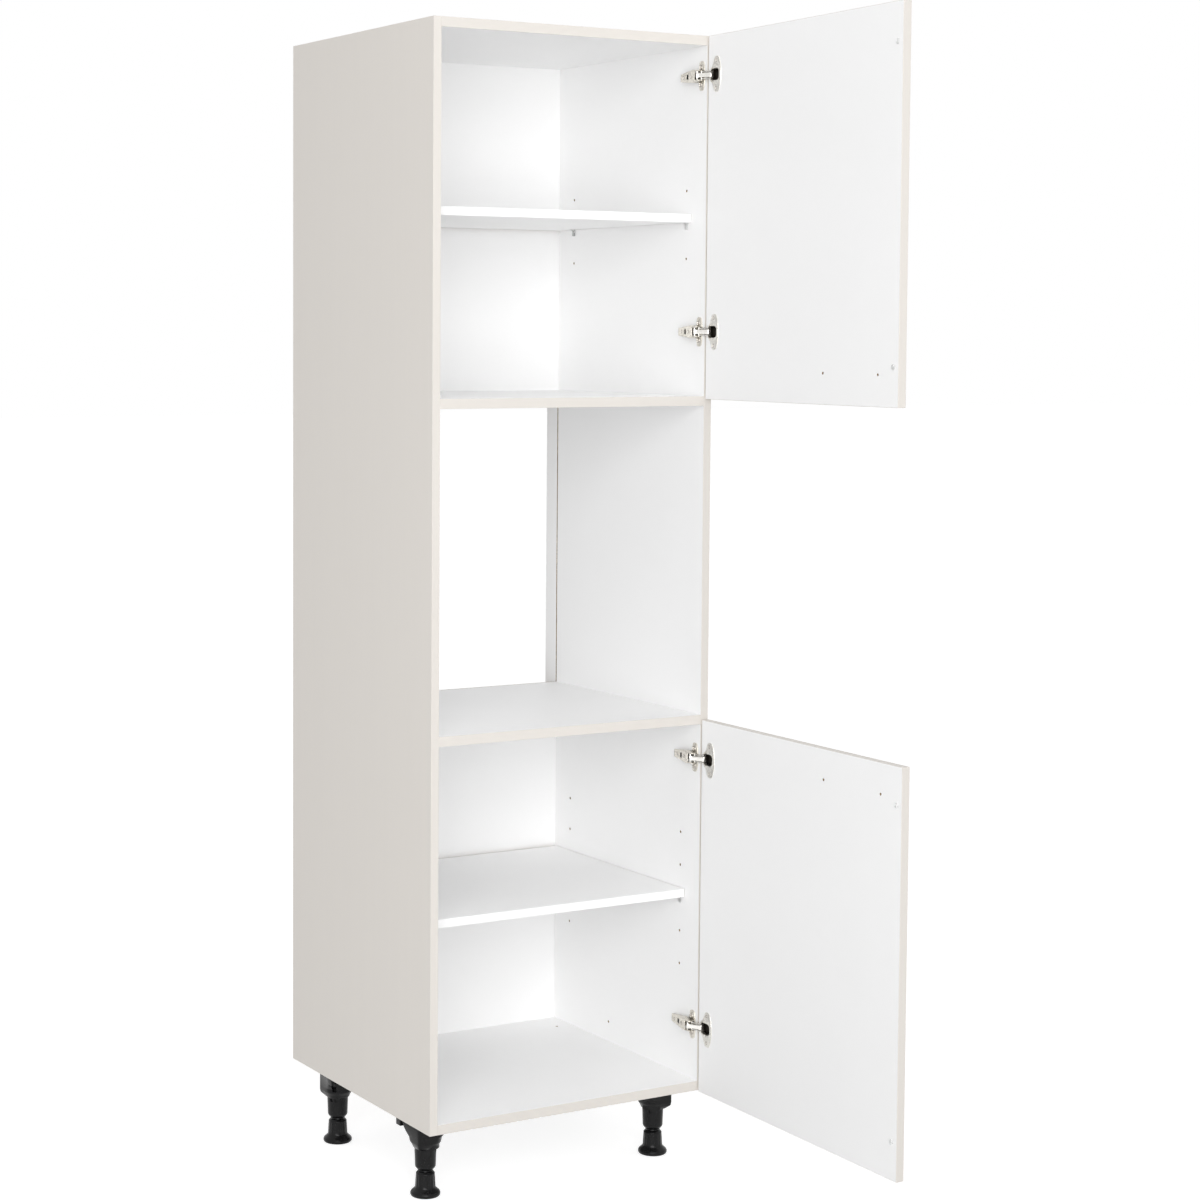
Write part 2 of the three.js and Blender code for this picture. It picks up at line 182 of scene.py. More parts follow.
@dataclass
class Form:
    """A mesh in the making: closed surfaces in millimetres, gathered into one piece."""

    name: str
    points: list[Points] = field(default_factory=list)
    quads: list[NDArray[np.int64]] = field(default_factory=list)
    caps: list[NDArray[np.int64]] = field(default_factory=list)
    count: int = 0

    def _take(
        self, points: Points, quads: NDArray[np.int64], caps: Sequence[NDArray[np.int64]] = ()
    ) -> "Form":
        """Adds points, and faces that are numbered from the first of those points.

        Args:
            points: Array of shape (n, 3).
            quads: Array of shape (faces, 4).
            caps: Point numbers of each face with more points.

        Returns:
            This form.
        """
        self.quads.append(quads + self.count)
        self.caps += [cap + self.count for cap in caps]
        self.points.append(points)
        self.count += len(points)
        return self

    def rings(self, rings: Points) -> "Form":
        """Adds a surface through closed rings, closed at both ends by a flat face.

        Args:
            rings: Array of shape (rings, points, 3), point (i, j) on ring i.

        Returns:
            This form.
        """
        rows, columns = rings.shape[:2]
        first = np.arange(columns)[::-1]
        last = np.arange((rows - 1) * columns, rows * columns)
        return self._take(rings.reshape(-1, 3), ring_quads(rows, columns), (first, last))

    def sheet(self, grid: Points, keep: NDArray[np.bool_]) -> "Form":
        """Adds an open sheet that a Solidify modifier turns into a wall.

        Args:
            grid: Array of shape (rows, columns, 3).
            keep: Which of the (rows - 1, columns - 1) faces stay.

        Returns:
            This form.
        """
        rows, columns = grid.shape[:2]
        i, j = np.meshgrid(np.arange(rows - 1), np.arange(columns - 1), indexing="ij")
        low, high = i * columns + j, (i + 1) * columns + j
        faces = np.stack([low, low + 1, high + 1, high], -1)
        return self._take(grid.reshape(-1, 3), faces[keep])

    def build(self, placement: Placement, sharp: float = 32.0) -> bpy.types.Object:
        """Makes the object, with doubles merged, normals outward and sharp edges marked.

        Points that no face uses are left out, and the rest are renumbered in order.

        Args:
            placement: Where the piece goes.
            sharp: Edges that turn by more than this many degrees stay sharp.

        Returns:
            The object, at the origin, with its place in its mesh.
        """
        points, quads = placement.apply(np.concatenate(self.points)), np.concatenate(self.quads)
        used = np.zeros(len(points), bool)
        used[np.concatenate([quads.ravel(), *self.caps])] = True
        number = np.cumsum(used) - 1
        faces = number[quads].tolist() + [number[cap].tolist() for cap in self.caps]
        mesh = bpy.data.meshes.new(self.name)
        mesh.from_pydata(points[used].tolist(), [], faces)
        work = bmesh.new()
        work.from_mesh(mesh)
        bmesh.ops.remove_doubles(work, verts=work.verts[:], dist=2e-6)
        bmesh.ops.dissolve_degenerate(work, edges=work.edges[:], dist=1e-6)
        bmesh.ops.recalc_face_normals(work, faces=work.faces[:])
        work.to_mesh(mesh)
        work.free()
        mesh.shade_smooth()
        mesh.set_sharp_from_angle(angle=math.radians(sharp))
        piece = bpy.data.objects.new(self.name, mesh)
        bpy.context.scene.collection.objects.link(piece)
        return piece


def rounded_path(corners: Sequence[Triple], closed: bool = False, steps: int = 6) -> Points:
    """A polyline with its corners turned into arcs.

    An arc of radius r touches both arms of its corner at r * tan(turn / 2) from it; its points
    are its centre plus r times the direction that swings from one touching point to the other.

    Args:
        corners: x, y and arc radius of each corner.
        closed: Whether the last corner joins the first.
        steps: Pieces of each arc.

    Returns:
        Array of shape (n, 2).
    """
    spots = np.array([corner[:2] for corner in corners], float)
    out: list[Points] = []
    last = len(corners) - 1
    for k, (_, _, radius) in enumerate(corners):
        here = spots[k]
        if radius <= 0 or (not closed and k in (0, last)):
            out.append(here[None])
            continue
        back = spots[k - 1] - here
        ahead = spots[(k + 1) % len(spots)] - here
        room = 0.49 * min(np.linalg.norm(back), np.linalg.norm(ahead))
        back, ahead = back / np.linalg.norm(back), ahead / np.linalg.norm(ahead)
        half = 0.5 * math.acos(float(np.clip(back @ ahead, -1, 1)))
        if half > 1.56:
            out.append(here[None])
            continue
        reach = min(radius / math.tan(half), room)
        first, final = here + back * reach, here + ahead * reach
        bisector = (back + ahead) / np.linalg.norm(back + ahead)
        centre = here + bisector * reach / math.cos(half)
        a, b = first - centre, final - centre
        sweep = math.pi - 2 * half
        t = np.linspace(0, 1, steps + 1)[:, None]
        arc = (np.sin((1 - t) * sweep) * a + np.sin(t * sweep) * b) / math.sin(sweep)
        out.append(centre + arc)
    return np.concatenate(out)


def rounded_rectangle(x: Pair, y: Pair, radius: float) -> Points:
    """The outline of a rectangle with round corners, counter-clockwise."""
    corners = [(x[0], y[0]), (x[1], y[0]), (x[1], y[1]), (x[0], y[1])]
    return rounded_path([(cx, cy, radius) for cx, cy in corners], True)


def doubled_path(upper: Sequence[Triple], steps: int = 6) -> Points:
    """A closed outline from the corners of its upper half and their mirror images below."""
    lower = [(a, -b, radius) for a, b, radius in reversed(upper)]
    return rounded_path([*lower, *upper], True, steps)


def outward(outline: Points) -> Points:
    """Unit normals of a closed counter-clockwise outline.

    The normal is the difference of the neighbours of a point, turned by a quarter to the right.

    Args:
        outline: Array of shape (n, 2).

    Returns:
        Array of shape (n, 2).
    """
    along = np.roll(outline, -1, 0) - np.roll(outline, 1, 0)
    normal = np.stack([along[:, 1], -along[:, 0]], -1)
    return normal / np.maximum(np.linalg.norm(normal, axis=1, keepdims=True), 1e-9)


def plate_rings(outline: Points, low: float, high: float, fillet: float, steps: int = 3) -> Points:
    """Rings of a plate with rounded edges.

    A quarter circle of the fillet's radius is carried round the outline at each face: at angle a
    the ring lies fillet * (1 - sin a) inside the outline and fillet * (1 - cos a) from the face.

    Args:
        outline: Array of shape (n, 2), counter-clockwise.
        low: Height of the lower face.
        high: Height of the upper face.
        fillet: Radius of the rounded edges.
        steps: Pieces of each quarter circle.

    Returns:
        Array of shape (rings, n, 3).
    """
    angle = np.linspace(0, math.pi / 2, steps + 1)
    inset = fillet * (1 - np.sin(angle))
    rise = fillet * (1 - np.cos(angle))
    insets = np.concatenate([inset, inset[::-1]])
    heights = np.concatenate([low + rise, high - rise[::-1]])
    flat = outline[None] - insets[:, None, None] * outward(outline)[None]
    tall = np.broadcast_to(heights[:, None, None], flat.shape[:2] + (1,))
    return np.concatenate([flat, tall], -1)


def around(r: Points, angle: Points, z: Points) -> Points:
    """Rings about Z: x = r cos a, y = r sin a, with one row for each height.

    Args:
        r: Radii, one for each row or for each row and angle.
        angle: Directions in radians.
        z: Heights, with a last axis of one.

    Returns:
        Array of shape (rows, angles, 3).
    """
    return np.stack([r * np.cos(angle), r * np.sin(angle), z + 0 * angle], -1)


def directions(count: int) -> Points:
    """Angles evenly spread over a full turn, from 0."""
    return np.linspace(0, FULL_TURN, count, endpoint=False)


def revolved(profile: Sequence[Pair], segments: int) -> Points:
    """Rings of a surface of revolution about Z, from radii and heights along its profile."""
    table = np.asarray(profile)
    return around(table[:, :1], directions(segments), table[:, 1:])


def swapped(rings: Points, order: str) -> Points:
    """Relabels the axes of points, such as "y z -x" for (a, b, c) becoming y = a, z = b, x = -c.

    Args:
        rings: Array whose last axis holds three coordinates.
        order: The axis that each of the three coordinates becomes, each with an optional minus.

    Returns:
        The array with x, y and z in order.
    """
    out = np.empty_like(rings)
    for k, word in enumerate(order.split()):
        sign = -1.0 if word.startswith("-") else 1.0
        out[..., "xyz".index(word[-1])] = sign * rings[..., k]
    return out


def shifted(rings: Points, x: float = 0.0, y: float = 0.0, z: float = 0.0) -> Points:
    """Moves an array of points by a fixed step."""
    return rings + np.array([x, y, z])


def screw_head(radius: float, height: float, recess: float) -> Points:
    """Rings of a domed screw head with a cross recess, standing on z = 0 about the Z axis.

    The dome is height * sqrt(1 - (r / (1.15 radius))^2). The cross takes away recess times
    exp(-(d / w)^4), with d the distance to the nearer of two lines at right angles and w a tenth
    of the diameter, faded out beyond two thirds of the radius.

    Args:
        radius: Radius of the head.
        height: Height of the dome.
        recess: Depth of the cross.

    Returns:
        Array of rings.
    """
    r = radius * np.concatenate([[1.0, 1.0, 0.985], np.linspace(0.94, 0.0, 16)])[:, None]
    angle = directions(40)
    x, y = r * np.cos(angle), r * np.sin(angle)
    dome = height * np.sqrt(np.clip(1 - (r / (1.15 * radius)) ** 2, 0, None)) + 0 * angle
    near = np.minimum(abs(x), abs(y)) / (0.2 * radius)
    fade = 1 / (1 + np.exp((r / radius - 0.66) * 30))
    z = dome - recess * np.exp(-(near**4)) * fade
    z[0] = 0.0
    return np.stack([x, y, z], -1)


def soften(node: bpy.types.Object, width_mm: float) -> None:
    """Joins a CAD node's loose triangles, rounds its edges and keeps its faces flat to the light.

    Args:
        node: The CAD node's object.
        width_mm: Width of the bevel.
    """
    weld = node.modifiers.new("weld", "WELD")
    weld.merge_threshold = 1e-5
    bevel = node.modifiers.new("edge radius", "BEVEL")
    bevel.width = width_mm * MM
    bevel.segments = 2
    bevel.limit_method = "ANGLE"
    bevel.angle_limit = math.radians(40)
    normals = node.modifiers.new("flat faces", "WEIGHTED_NORMAL")
    normals.mode = "FACE_AREA"
    normals.weight = 100
    normals.keep_sharp = True


# ---------------------------------------------------------------- finishes


class Nodes:
    """A node tree, with short calls for the nodes that this file uses.

    The calls take outputs, numbers or colours as values, and give outputs back.
    """

    def __init__(self, tree: bpy.types.NodeTree) -> None:
        """Empties the tree.

        Args:
            tree: The tree of a material or world.
        """
        self.tree = tree
        tree.nodes.clear()

    def feed(self, socket: bpy.types.NodeSocket, value: object) -> None:
        """Links an output to a socket, or sets the socket to a number or colour.

        Args:
            socket: The input.
            value: An output socket, a number, or three or four numbers.
        """
        if isinstance(value, bpy.types.NodeSocket):
            self.tree.links.new(value, socket)
        elif socket.type == "RGBA" and len(value) == 3:
            socket.default_value = (*value, 1.0)
        else:
            socket.default_value = value

    def node(
        self, kind: str, values: dict[object, object], **settings: str
    ) -> bpy.types.bpy_prop_collection:
        """Adds a node.

        Args:
            kind: Type of the node.
            values: What each input is set or linked to, by its name or number.
            settings: Properties of the node.

        Returns:
            The node's outputs.
        """
        node = self.tree.nodes.new(kind)
        for name, setting in settings.items():
            setattr(node, name, setting)
        for key, value in values.items():
            self.feed(node.inputs[key], value)
        return node.outputs

    def math(self, operation: str, a: object, b: object) -> object:
        """The result of an operation on two values."""
        return self.node("ShaderNodeMath", {0: a, 1: b}, operation=operation)[0]

    def seen(self) -> object:
        """Tells what is seen from what only gives light.

        Returns:
            An output that is 1 for rays from the camera and for reflected and refracted ones.
        """
        path = self.node("ShaderNodeLightPath", {})
        seen = self.math("MAXIMUM", path["Is Camera Ray"], path["Is Glossy Ray"])
        return self.math("MAXIMUM", seen, path["Is Transmission Ray"])

    def mix(self, share: object, a: object, b: object) -> object:
        """The first colour, with a share from 0 to 1 of the second in it."""
        return self.node("ShaderNodeMix", {0: share, 6: a, 7: b}, data_type="RGBA")[2]

    def stretched(self, vector: object, scale: Triple) -> object:
        """A vector with each of its axes stretched."""
        return self.node("ShaderNodeMapping", {"Scale": scale, "Vector": vector})[0]

    def split(self, vector: object) -> Sequence[object]:
        """The x, y and z of a vector."""
        return self.node("ShaderNodeSeparateXYZ", {0: vector})

    def noise(self, vector: object, scale: float, detail: float, rough: float = 0.5) -> object:
        """A noise from 0 to 1, with the fineness, and number and strength of its finer layers."""
        values = {"Vector": vector, "Scale": scale, "Detail": detail, "Roughness": rough}
        return self.node("ShaderNodeTexNoise", values)[0]

    def cells(self, vector: object, scale: float) -> tuple[object, object]:
        """Distance and colour of Voronoi cells, so many to the metre."""
        outputs = self.node("ShaderNodeTexVoronoi", {"Vector": vector, "Scale": scale})
        return outputs["Distance"], outputs["Color"]

    def spread(self, value: object, low: float, high: float) -> object:
        """A value from 0 to 1, carried over to the range from low to high."""
        return self.node("ShaderNodeMapRange", {"Value": value, "To Min": low, "To Max": high})[0]

    def contrast(self, value: object, low: float, high: float) -> object:
        """The range from low to high stretched over 0 to 1, and the rest held."""
        values = {"Value": value, "From Min": low, "From Max": high}
        return self.node("ShaderNodeMapRange", values)[0]


class Graph(Nodes):
    """The nodes of a material with a Principled shader."""

    def __init__(self, name: str) -> None:
        """Starts the material.

        Args:
            name: Name of the material.
        """
        self.material = bpy.data.materials.new(name)
        self.material.use_nodes = True
        super().__init__(self.material.node_tree)
        self.shader = self.tree.nodes.new("ShaderNodeBsdfPrincipled")
        self.node("ShaderNodeOutputMaterial", {"Surface": self.shader.outputs[0]})

    def mapped(self, origin: Triple = (0, 0, 0), turn: float = 0.0) -> object:
        """Object coordinates from an origin in metres, turned back about Z.

        Args:
            origin: Point that becomes zero.
            turn: Angle in radians that the piece stands turned by.

        Returns:
            The vector.
        """
        here = self.node("ShaderNodeTexCoord", {})["Object"]
        values = {"Location": origin, "Rotation": (0, 0, turn), "Vector": here}
        return self.node("ShaderNodeMapping", values, vector_type="TEXTURE")[0]

    def bump(self, height: object, depth_mm: float) -> None:
        """Lets a height from 0 to 1 act on the shader's normal, 1 being a depth in millimetres."""
        values = {"Distance": depth_mm * MM, "Strength": 1.0, "Height": height}
        self.feed(self.shader.inputs["Normal"], self.node("ShaderNodeBump", values)[0])

    def paint(self, colour: object, roughness: object, metallic: float = 0.0) -> None:
        """Sets the shader's colour, roughness and metalness.

        Args:
            colour: Base colour.
            roughness: Roughness.
            metallic: 1 for metal.
        """
        self.feed(self.shader.inputs["Base Color"], colour)
        self.feed(self.shader.inputs["Roughness"], roughness)
        self.shader.inputs["Metallic"].default_value = metallic


class Skin(Enum):
    """What covers a face of a board."""

    WHITE = "white"
    BEIGE = "beige"
    BAND = "band"
    CORE = "core"
    HARDBOARD = "hardboard"


@dataclass(frozen=True)
class Cover:
    """One face or edge of a board and its skin: the part of the board beyond a plane.

    Args:
        axis: 0, 1 or 2 for x, y or z of the board's own frame.
        beyond: The plane, in metres.
        above: True for the part above the plane, False for the part below it.
        skin: What covers it.
    """

    axis: int
    beyond: float
    above: bool
    skin: Skin


@dataclass(frozen=True)
class BoardFinish:
    """Laminated chipboard: white or beige skins, edge bands, and the bare core in cuts and holes.

    The edge bands are a little darker than the beige laminate beside them. Each method for a skin
    takes the material's nodes and the board's coordinates, and returns its colour output.

    Args:
        name: Name of the material.
        base: What the board shows where no cover applies.
        covers: Faces and edges, later ones over earlier ones.
        origin: Point of the model, in metres, that the covers are counted from.
        turn: Angle in radians that the board stands turned by.
        grain_axis: Axis along which the beige laminate's faint grain runs.
        white: Colour of the white laminate.
        beige: Colour of the beige laminate.
        band: Share of the beige that the edge bands have.
    """

    name: str
    base: Skin
    covers: tuple[Cover, ...]
    origin: Triple = (0.0, 0.0, 0.0)
    turn: float = 0.0
    grain_axis: int = 2
    white: Colour = (0.93, 0.93, 0.93)
    beige: Colour = (0.780, 0.743, 0.697)
    band: float = 0.90

    def _white(self, graph: Graph, vector: object) -> object:
        """White laminate: an even white with a trace of cloudiness."""
        cloudy = tuple(c * 0.985 for c in self.white)
        return graph.mix(graph.noise(vector, 9.0, 3.0), self.white, cloudy)

    def _beige(self, graph: Graph, vector: object) -> object:
        """Beige laminate: a matt, nearly even colour with a trace of grain and a fine speckle.

        Args:
            graph: The material's nodes.
            vector: Coordinates of the board.

        Returns:
            The colour output.
        """
        stretch = tuple(1.6 if axis == self.grain_axis else 60.0 for axis in range(3))
        streak = graph.noise(graph.stretched(vector, stretch), 1.0, 4.0, 0.6)
        speckle = graph.noise(vector, 900.0, 1.0)
        halves = [graph.math("MULTIPLY", part, 0.5) for part in (streak, speckle)]
        both = graph.math("ADD", *halves)
        light = tuple(c * 1.008 for c in self.beige)
        dark = tuple(c * 0.990 for c in self.beige)
        return graph.mix(graph.contrast(both, 0.3, 0.7), dark, light)

    def _band(self, graph: Graph, vector: object) -> object:
        """Beige edge band: an even plastic strip with a fine speckle."""
        tone = tuple(c * self.band for c in self.beige)
        return graph.mix(graph.noise(vector, 900.0, 1.0), tone, tuple(c * 1.012 for c in tone))

    def _core(self, graph: Graph, vector: object) -> object:
        """Chipboard core: flakes of several browns with darker gaps.

        Args:
            graph: The material's nodes.
            vector: Coordinates of the board.

        Returns:
            The colour output.
        """
        gap, tint = graph.cells(vector, 420.0)
        wood = graph.mix(graph.split(tint)[0], (0.30, 0.20, 0.115), (0.56, 0.43, 0.28))
        return graph.mix(graph.contrast(gap, 0.45, 0.9), wood, (0.16, 0.10, 0.055))

    def _hardboard(self, graph: Graph, vector: object) -> object:
        """Hardboard's bare side: brown with a fine fibre mottle."""
        fibre = graph.contrast(graph.noise(vector, 260.0, 6.0, 0.7), 0.3, 0.7)
        return graph.mix(fibre, (0.235, 0.150, 0.088), (0.330, 0.222, 0.135))

    def make(self) -> bpy.types.Material:
        """Builds the material.

        Returns:
            The material.
        """
        graph = Graph(self.name)
        vector = graph.mapped(self.origin, self.turn)
        parts = graph.split(vector)
        paints = {
            Skin.WHITE: self._white,
            Skin.BEIGE: self._beige,
            Skin.BAND: self._band,
            Skin.CORE: self._core,
            Skin.HARDBOARD: self._hardboard,
        }
        used = {self.base, *(cover.skin for cover in self.covers)}
        colours = {skin: paints[skin](graph, vector) for skin in Skin if skin in used}
        colour, bare = colours[self.base], float(self.base in (Skin.CORE, Skin.HARDBOARD))
        for cover in self.covers:
            test = "GREATER_THAN" if cover.above else "LESS_THAN"
            share = graph.math(test, parts[cover.axis], cover.beyond)
            colour = graph.mix(share, colour, colours[cover.skin])
            rough = float(cover.skin in (Skin.CORE, Skin.HARDBOARD))
            kept = graph.math("MULTIPLY", bare, graph.math("SUBTRACT", 1.0, share))
            bare = graph.math("ADD", kept, graph.math("MULTIPLY", share, rough))
        peel = graph.noise(vector, 700.0, 2.0)
        flakes = graph.noise(vector, 380.0, 4.0, 0.7)
        sheen = graph.spread(graph.noise(vector, 30.0, 2.0), 0.40, 0.50)
        roughness = graph.math("MAXIMUM", sheen, graph.math("MULTIPLY", bare, 0.9))
        graph.paint(colour, roughness)
        fine = graph.math("MULTIPLY", peel, 0.04)
        coarse = graph.math("MULTIPLY", flakes, bare)
        graph.bump(graph.math("ADD", fine, coarse), 0.35)
        graph.shader.inputs["Specular IOR Level"].default_value = 0.35
        return graph.material


@dataclass(frozen=True)
class MetalFinish:
    """Pressed steel with a bright coat: faint rolling marks and uneven sheen.

    Args:
        name: Name of the material.
        colour: Colour of the metal.
        gloss: Lowest and highest roughness.
        marks: Depth of the rolling marks in millimetres.
        dark_below: If set, y of the door's frame in metres below which the metal is painted dark
            and dull, as painted shade.
        origin: Point that the door's frame is counted from.
        turn: Angle in radians that the door stands turned by.
    """

    name: str
    colour: Colour = (0.83, 0.79, 0.71)
    gloss: Pair = (0.20, 0.34)
    marks: float = 0.012
    dark_below: Optional[float] = None
    origin: Triple = (0.0, 0.0, 0.0)
    turn: float = 0.0

    def make(self) -> bpy.types.Material:
        """Builds the material.

        Returns:
            The material.
        """
        graph = Graph(self.name)
        vector = graph.mapped(self.origin, self.turn)
        rolled = graph.noise(graph.stretched(vector, (900.0, 90.0, 900.0)), 1.0, 3.0)
        cloud = graph.noise(vector, 160.0, 3.0)
        dull = tuple(c * 0.90 for c in self.colour)
        colour = graph.mix(graph.contrast(cloud, 0.35, 0.7), self.colour, dull)
        mean = graph.math("MULTIPLY", graph.math("ADD", rolled, cloud), 0.5)
        roughness = graph.spread(mean, *self.gloss)
        # Painted shade: below this depth the metal is painted dark and dull, standing in for the
        # shade inside a hinge cup.
        if self.dark_below is not None:
            in_shade = graph.math("LESS_THAN", graph.split(vector)[1], self.dark_below)
            colour = graph.mix(in_shade, colour, (0.03, 0.026, 0.022))
            roughness = graph.math("MAXIMUM", roughness, graph.math("MULTIPLY", in_shade, 0.6))
        graph.paint(colour, roughness, 1.0)
        graph.bump(rolled, self.marks)
        return graph.material


@dataclass(frozen=True)
class MouldedFinish:
    """Injection-moulded plastic with a fine spark-eroded texture.

    Args:
        name: Name of the material.
        colour: Colour of the plastic.
        gloss: Lowest and highest roughness.
        clear: Share of light that passes through.
        texture: Depth of the surface texture in millimetres.
        shine: Strength of the reflections.
    """

    name: str
    colour: Colour
    gloss: Pair
    clear: float = 0.0
    texture: float = 0.03
    shine: float = 0.5

    def make(self) -> bpy.types.Material:
        """Builds the material.

        Returns:
            The material.
        """
        graph = Graph(self.name)
        vector = graph.mapped()
        grain = graph.noise(vector, 1500.0, 2.0, 0.6)
        flow = graph.noise(vector, 45.0, 3.0)
        paler = tuple(min(1.0, c * 1.25 + 0.002) for c in self.colour)
        graph.paint(graph.mix(flow, self.colour, paler), graph.spread(flow, *self.gloss))
        graph.bump(grain, self.texture)
        graph.shader.inputs["Transmission Weight"].default_value = self.clear
        graph.shader.inputs["IOR"].default_value = 1.49
        graph.shader.inputs["Specular IOR Level"].default_value = self.shine
        return graph.material


@dataclass
class Finishes:
    """Every finish of the unit that isn't a board, made once."""

    nickel: bpy.types.Material = field(init=False)
    bright: bpy.types.Material = field(init=False)
    screw: bpy.types.Material = field(init=False)
    recess: bpy.types.Material = field(init=False)
    black: bpy.types.Material = field(init=False)
    clear: bpy.types.Material = field(init=False)

    def __post_init__(self) -> None:
        """Makes the materials."""
        self.nickel = MetalFinish("nickel_plate").make()
        self.bright = MetalFinish("bright_nickel", (0.86, 0.84, 0.80), (0.10, 0.2), 0.006).make()
        self.screw = MetalFinish("zinc_screw", (0.56, 0.53, 0.49), (0.22, 0.36), 0.02).make()
        # Near-black plastic for the block under each hinge arm's slot: painted shade inside the
        # channel.
        self.recess = MouldedFinish("dark_insert", (0.010, 0.009, 0.008), (0.5, 0.6)).make()
        black = MouldedFinish("black_moulding", (0.0042, 0.0042, 0.0045), (0.19, 0.29), shine=0.20)
        self.black = black.make()
        clear = MouldedFinish("clear_moulding", (0.86, 0.87, 0.86), (0.22, 0.34), 0.55, 0.01)
        self.clear = clear.make()


def dress(
    piece: bpy.types.Object, material: bpy.types.Material, body: str, node: str = ""
) -> None:
    """Gives a piece its finish and the body it rides on.

    Args:
        piece: The object.
        material: Its finish.
        body: Name of the CAD body.
        node: Name of the CAD node that it replaces, or nothing.
    """
    if node:
        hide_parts(node)
    piece.data.materials.clear()
    piece.data.materials.append(material)
    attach(piece, body)


def repaint(node: bpy.types.Object, material: bpy.types.Material) -> None:
    """Puts one finish in every material slot of a CAD node.

    Args:
        node: The CAD node's object.
        material: The finish.
    """
    if not node.material_slots:
        node.data.materials.append(material)
    for slot in node.material_slots:
        slot.material = material


# ---------------------------------------------------------------- boards


@dataclass
class Carcass:
    """Sides, fixed boards, back panels and shelves: CAD nodes with laminate and edge bands."""

    nodes: dict[str, bpy.types.Object]
    edge_radius: float = 0.5
    paint: float = 0.6  # depth of the white paint on the backs
    boards: tuple[str, ...] = (
        "top_panel", "oven_bay_ceiling_panel", "oven_bay_floor_panel", "bottom_panel",
    )
    shelves: tuple[str, ...] = ("upper_shelf", "lower_shelf")
    backs: tuple[str, ...] = ("upper_back_panel", "lower_back_panel")

    def laminate(self, name: str, covers: tuple[Cover, ...], grain_axis: int = 2) -> None:
        """Gives a board its laminate and rounds its edges a little.

        Args:
            name: Name of the node.
            covers: Skins of its faces and edges.
            grain_axis: Axis along which its grain runs.
        """
        finish = BoardFinish(name + "_laminate", Skin.CORE, covers, grain_axis=grain_axis)
        repaint(self.nodes[name], finish.make())
        soften(self.nodes[name], self.edge_radius)

    def side(self, side: Side) -> None:
        """Beige outside and front band, white inside, bare core at the hidden ends.

        Args:
            side: Which side panel.
        """
        sign = side.value
        self.laminate(f"{side.word}_side_panel", (
            Cover(0, sign * (INNER_X + SKIN) * MM, sign < 0, Skin.WHITE),
            Cover(0, sign * (HALF_WIDTH - SKIN) * MM, sign > 0, Skin.BEIGE),
            Cover(1, (CARCASS_ORIGIN_MM[1] + BAND) * MM, False, Skin.BAND),
        ))

    def board(self, name: str, band: Skin) -> None:
        """White faces, a band on the front edge and bare core at the other edges.

        Args:
            name: Name of the node.
            band: Skin of the front edge.
        """
        low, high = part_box(name)
        self.laminate(name, (
            Cover(2, high.z - SKIN * MM, True, Skin.WHITE),
            Cover(2, low.z + SKIN * MM, False, Skin.WHITE),
            Cover(1, low.y + BAND * MM, False, band),
        ), grain_axis=0)

    def back(self, name: str) -> None:
        """White in front, bare hardboard behind.

        Args:
            name: Name of the node.
        """
        low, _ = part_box(name)
        covers = (Cover(1, low.y + self.paint * MM, False, Skin.WHITE),)
        repaint(self.nodes[name], BoardFinish(name + "_paint", Skin.HARDBOARD, covers).make())

    def build(self) -> None:
        """Dresses every board of the carcass."""
        for side in Side:
            self.side(side)
        for name in self.boards:
            self.board(name, Skin.BAND)
        for name in self.shelves:
            self.board(name, Skin.WHITE)
        for name in self.backs:
            self.back(name)
        LOG.info("carcass: %d boards dressed", 2 + len(self.boards + self.shelves + self.backs))


@dataclass
class ShelfSupports:
    """L-shaped shelf supports of clear plastic: a plate, a ledge and a pin in the side panel."""

    finishes: Finishes
    half_width: float = 4.5
    sheet: float = 1.8
    height: float = 13.0
    reach: float = 9.5
    above_hole: float = 4.0
    pin: tuple[Triple, ...] = (  # radius, distance into the panel and corner radius
        (0.0, -0.8, 0), (2.3, -0.8, 0.1), (2.3, 7.5, 0.8), (1.4, 9.0, 0.3), (0.0, 9.0, 0),
    )
    levels: dict[str, float] = field(default_factory=lambda: {"upper": 1651.0, "lower": 361.0})
    rows: dict[End, float] = field(default_factory=lambda: {End.FRONT: 64.0, End.REAR: 464.0})

    def form(self, name: str) -> Form:
        """An L of rounded section carried across the support, and the pin as a turned bar.

        Args:
            name: Name of the piece.

        Returns:
            The form, for the right-hand side, about its hole.
        """
        x1, x0 = INNER_X, INNER_X - self.reach
        top, low = self.above_hole, self.above_hole - self.height
        ledge, wall = top - self.sheet, x1 - self.sheet
        corners = [(x0, top, 0.5), (x0, ledge, 0.6), (wall, ledge, 1.6), (wall, low, 0.8),
                   (x1, low, 0.2), (x1, top, 0.2)]
        section = rounded_path(corners, True, 4)
        ell = swapped(plate_rings(section, -self.half_width, self.half_width, 0.35, 2), "x z y")
        pin = shifted(swapped(revolved(rounded_path(self.pin), 24), "y z x"), x1)
        return Form(name).rings(ell).rings(pin)

    def build(self) -> None:
        """Makes the supports of both shelves."""
        for level, hole_z in self.levels.items():
            for side in Side:
                for end, y in self.rows.items():
                    node = f"{level}_shelf_pin_{side.word}_{end.word}"
                    place = Placement.carcass(0, y, hole_z).mirrored(x=side.value)
                    piece = self.form(node + "_support").build(place)
                    dress(piece, self.finishes.clear, "cabinet", node)
        LOG.info("shelf supports made")


# ---------------------------------------------------------------- doors


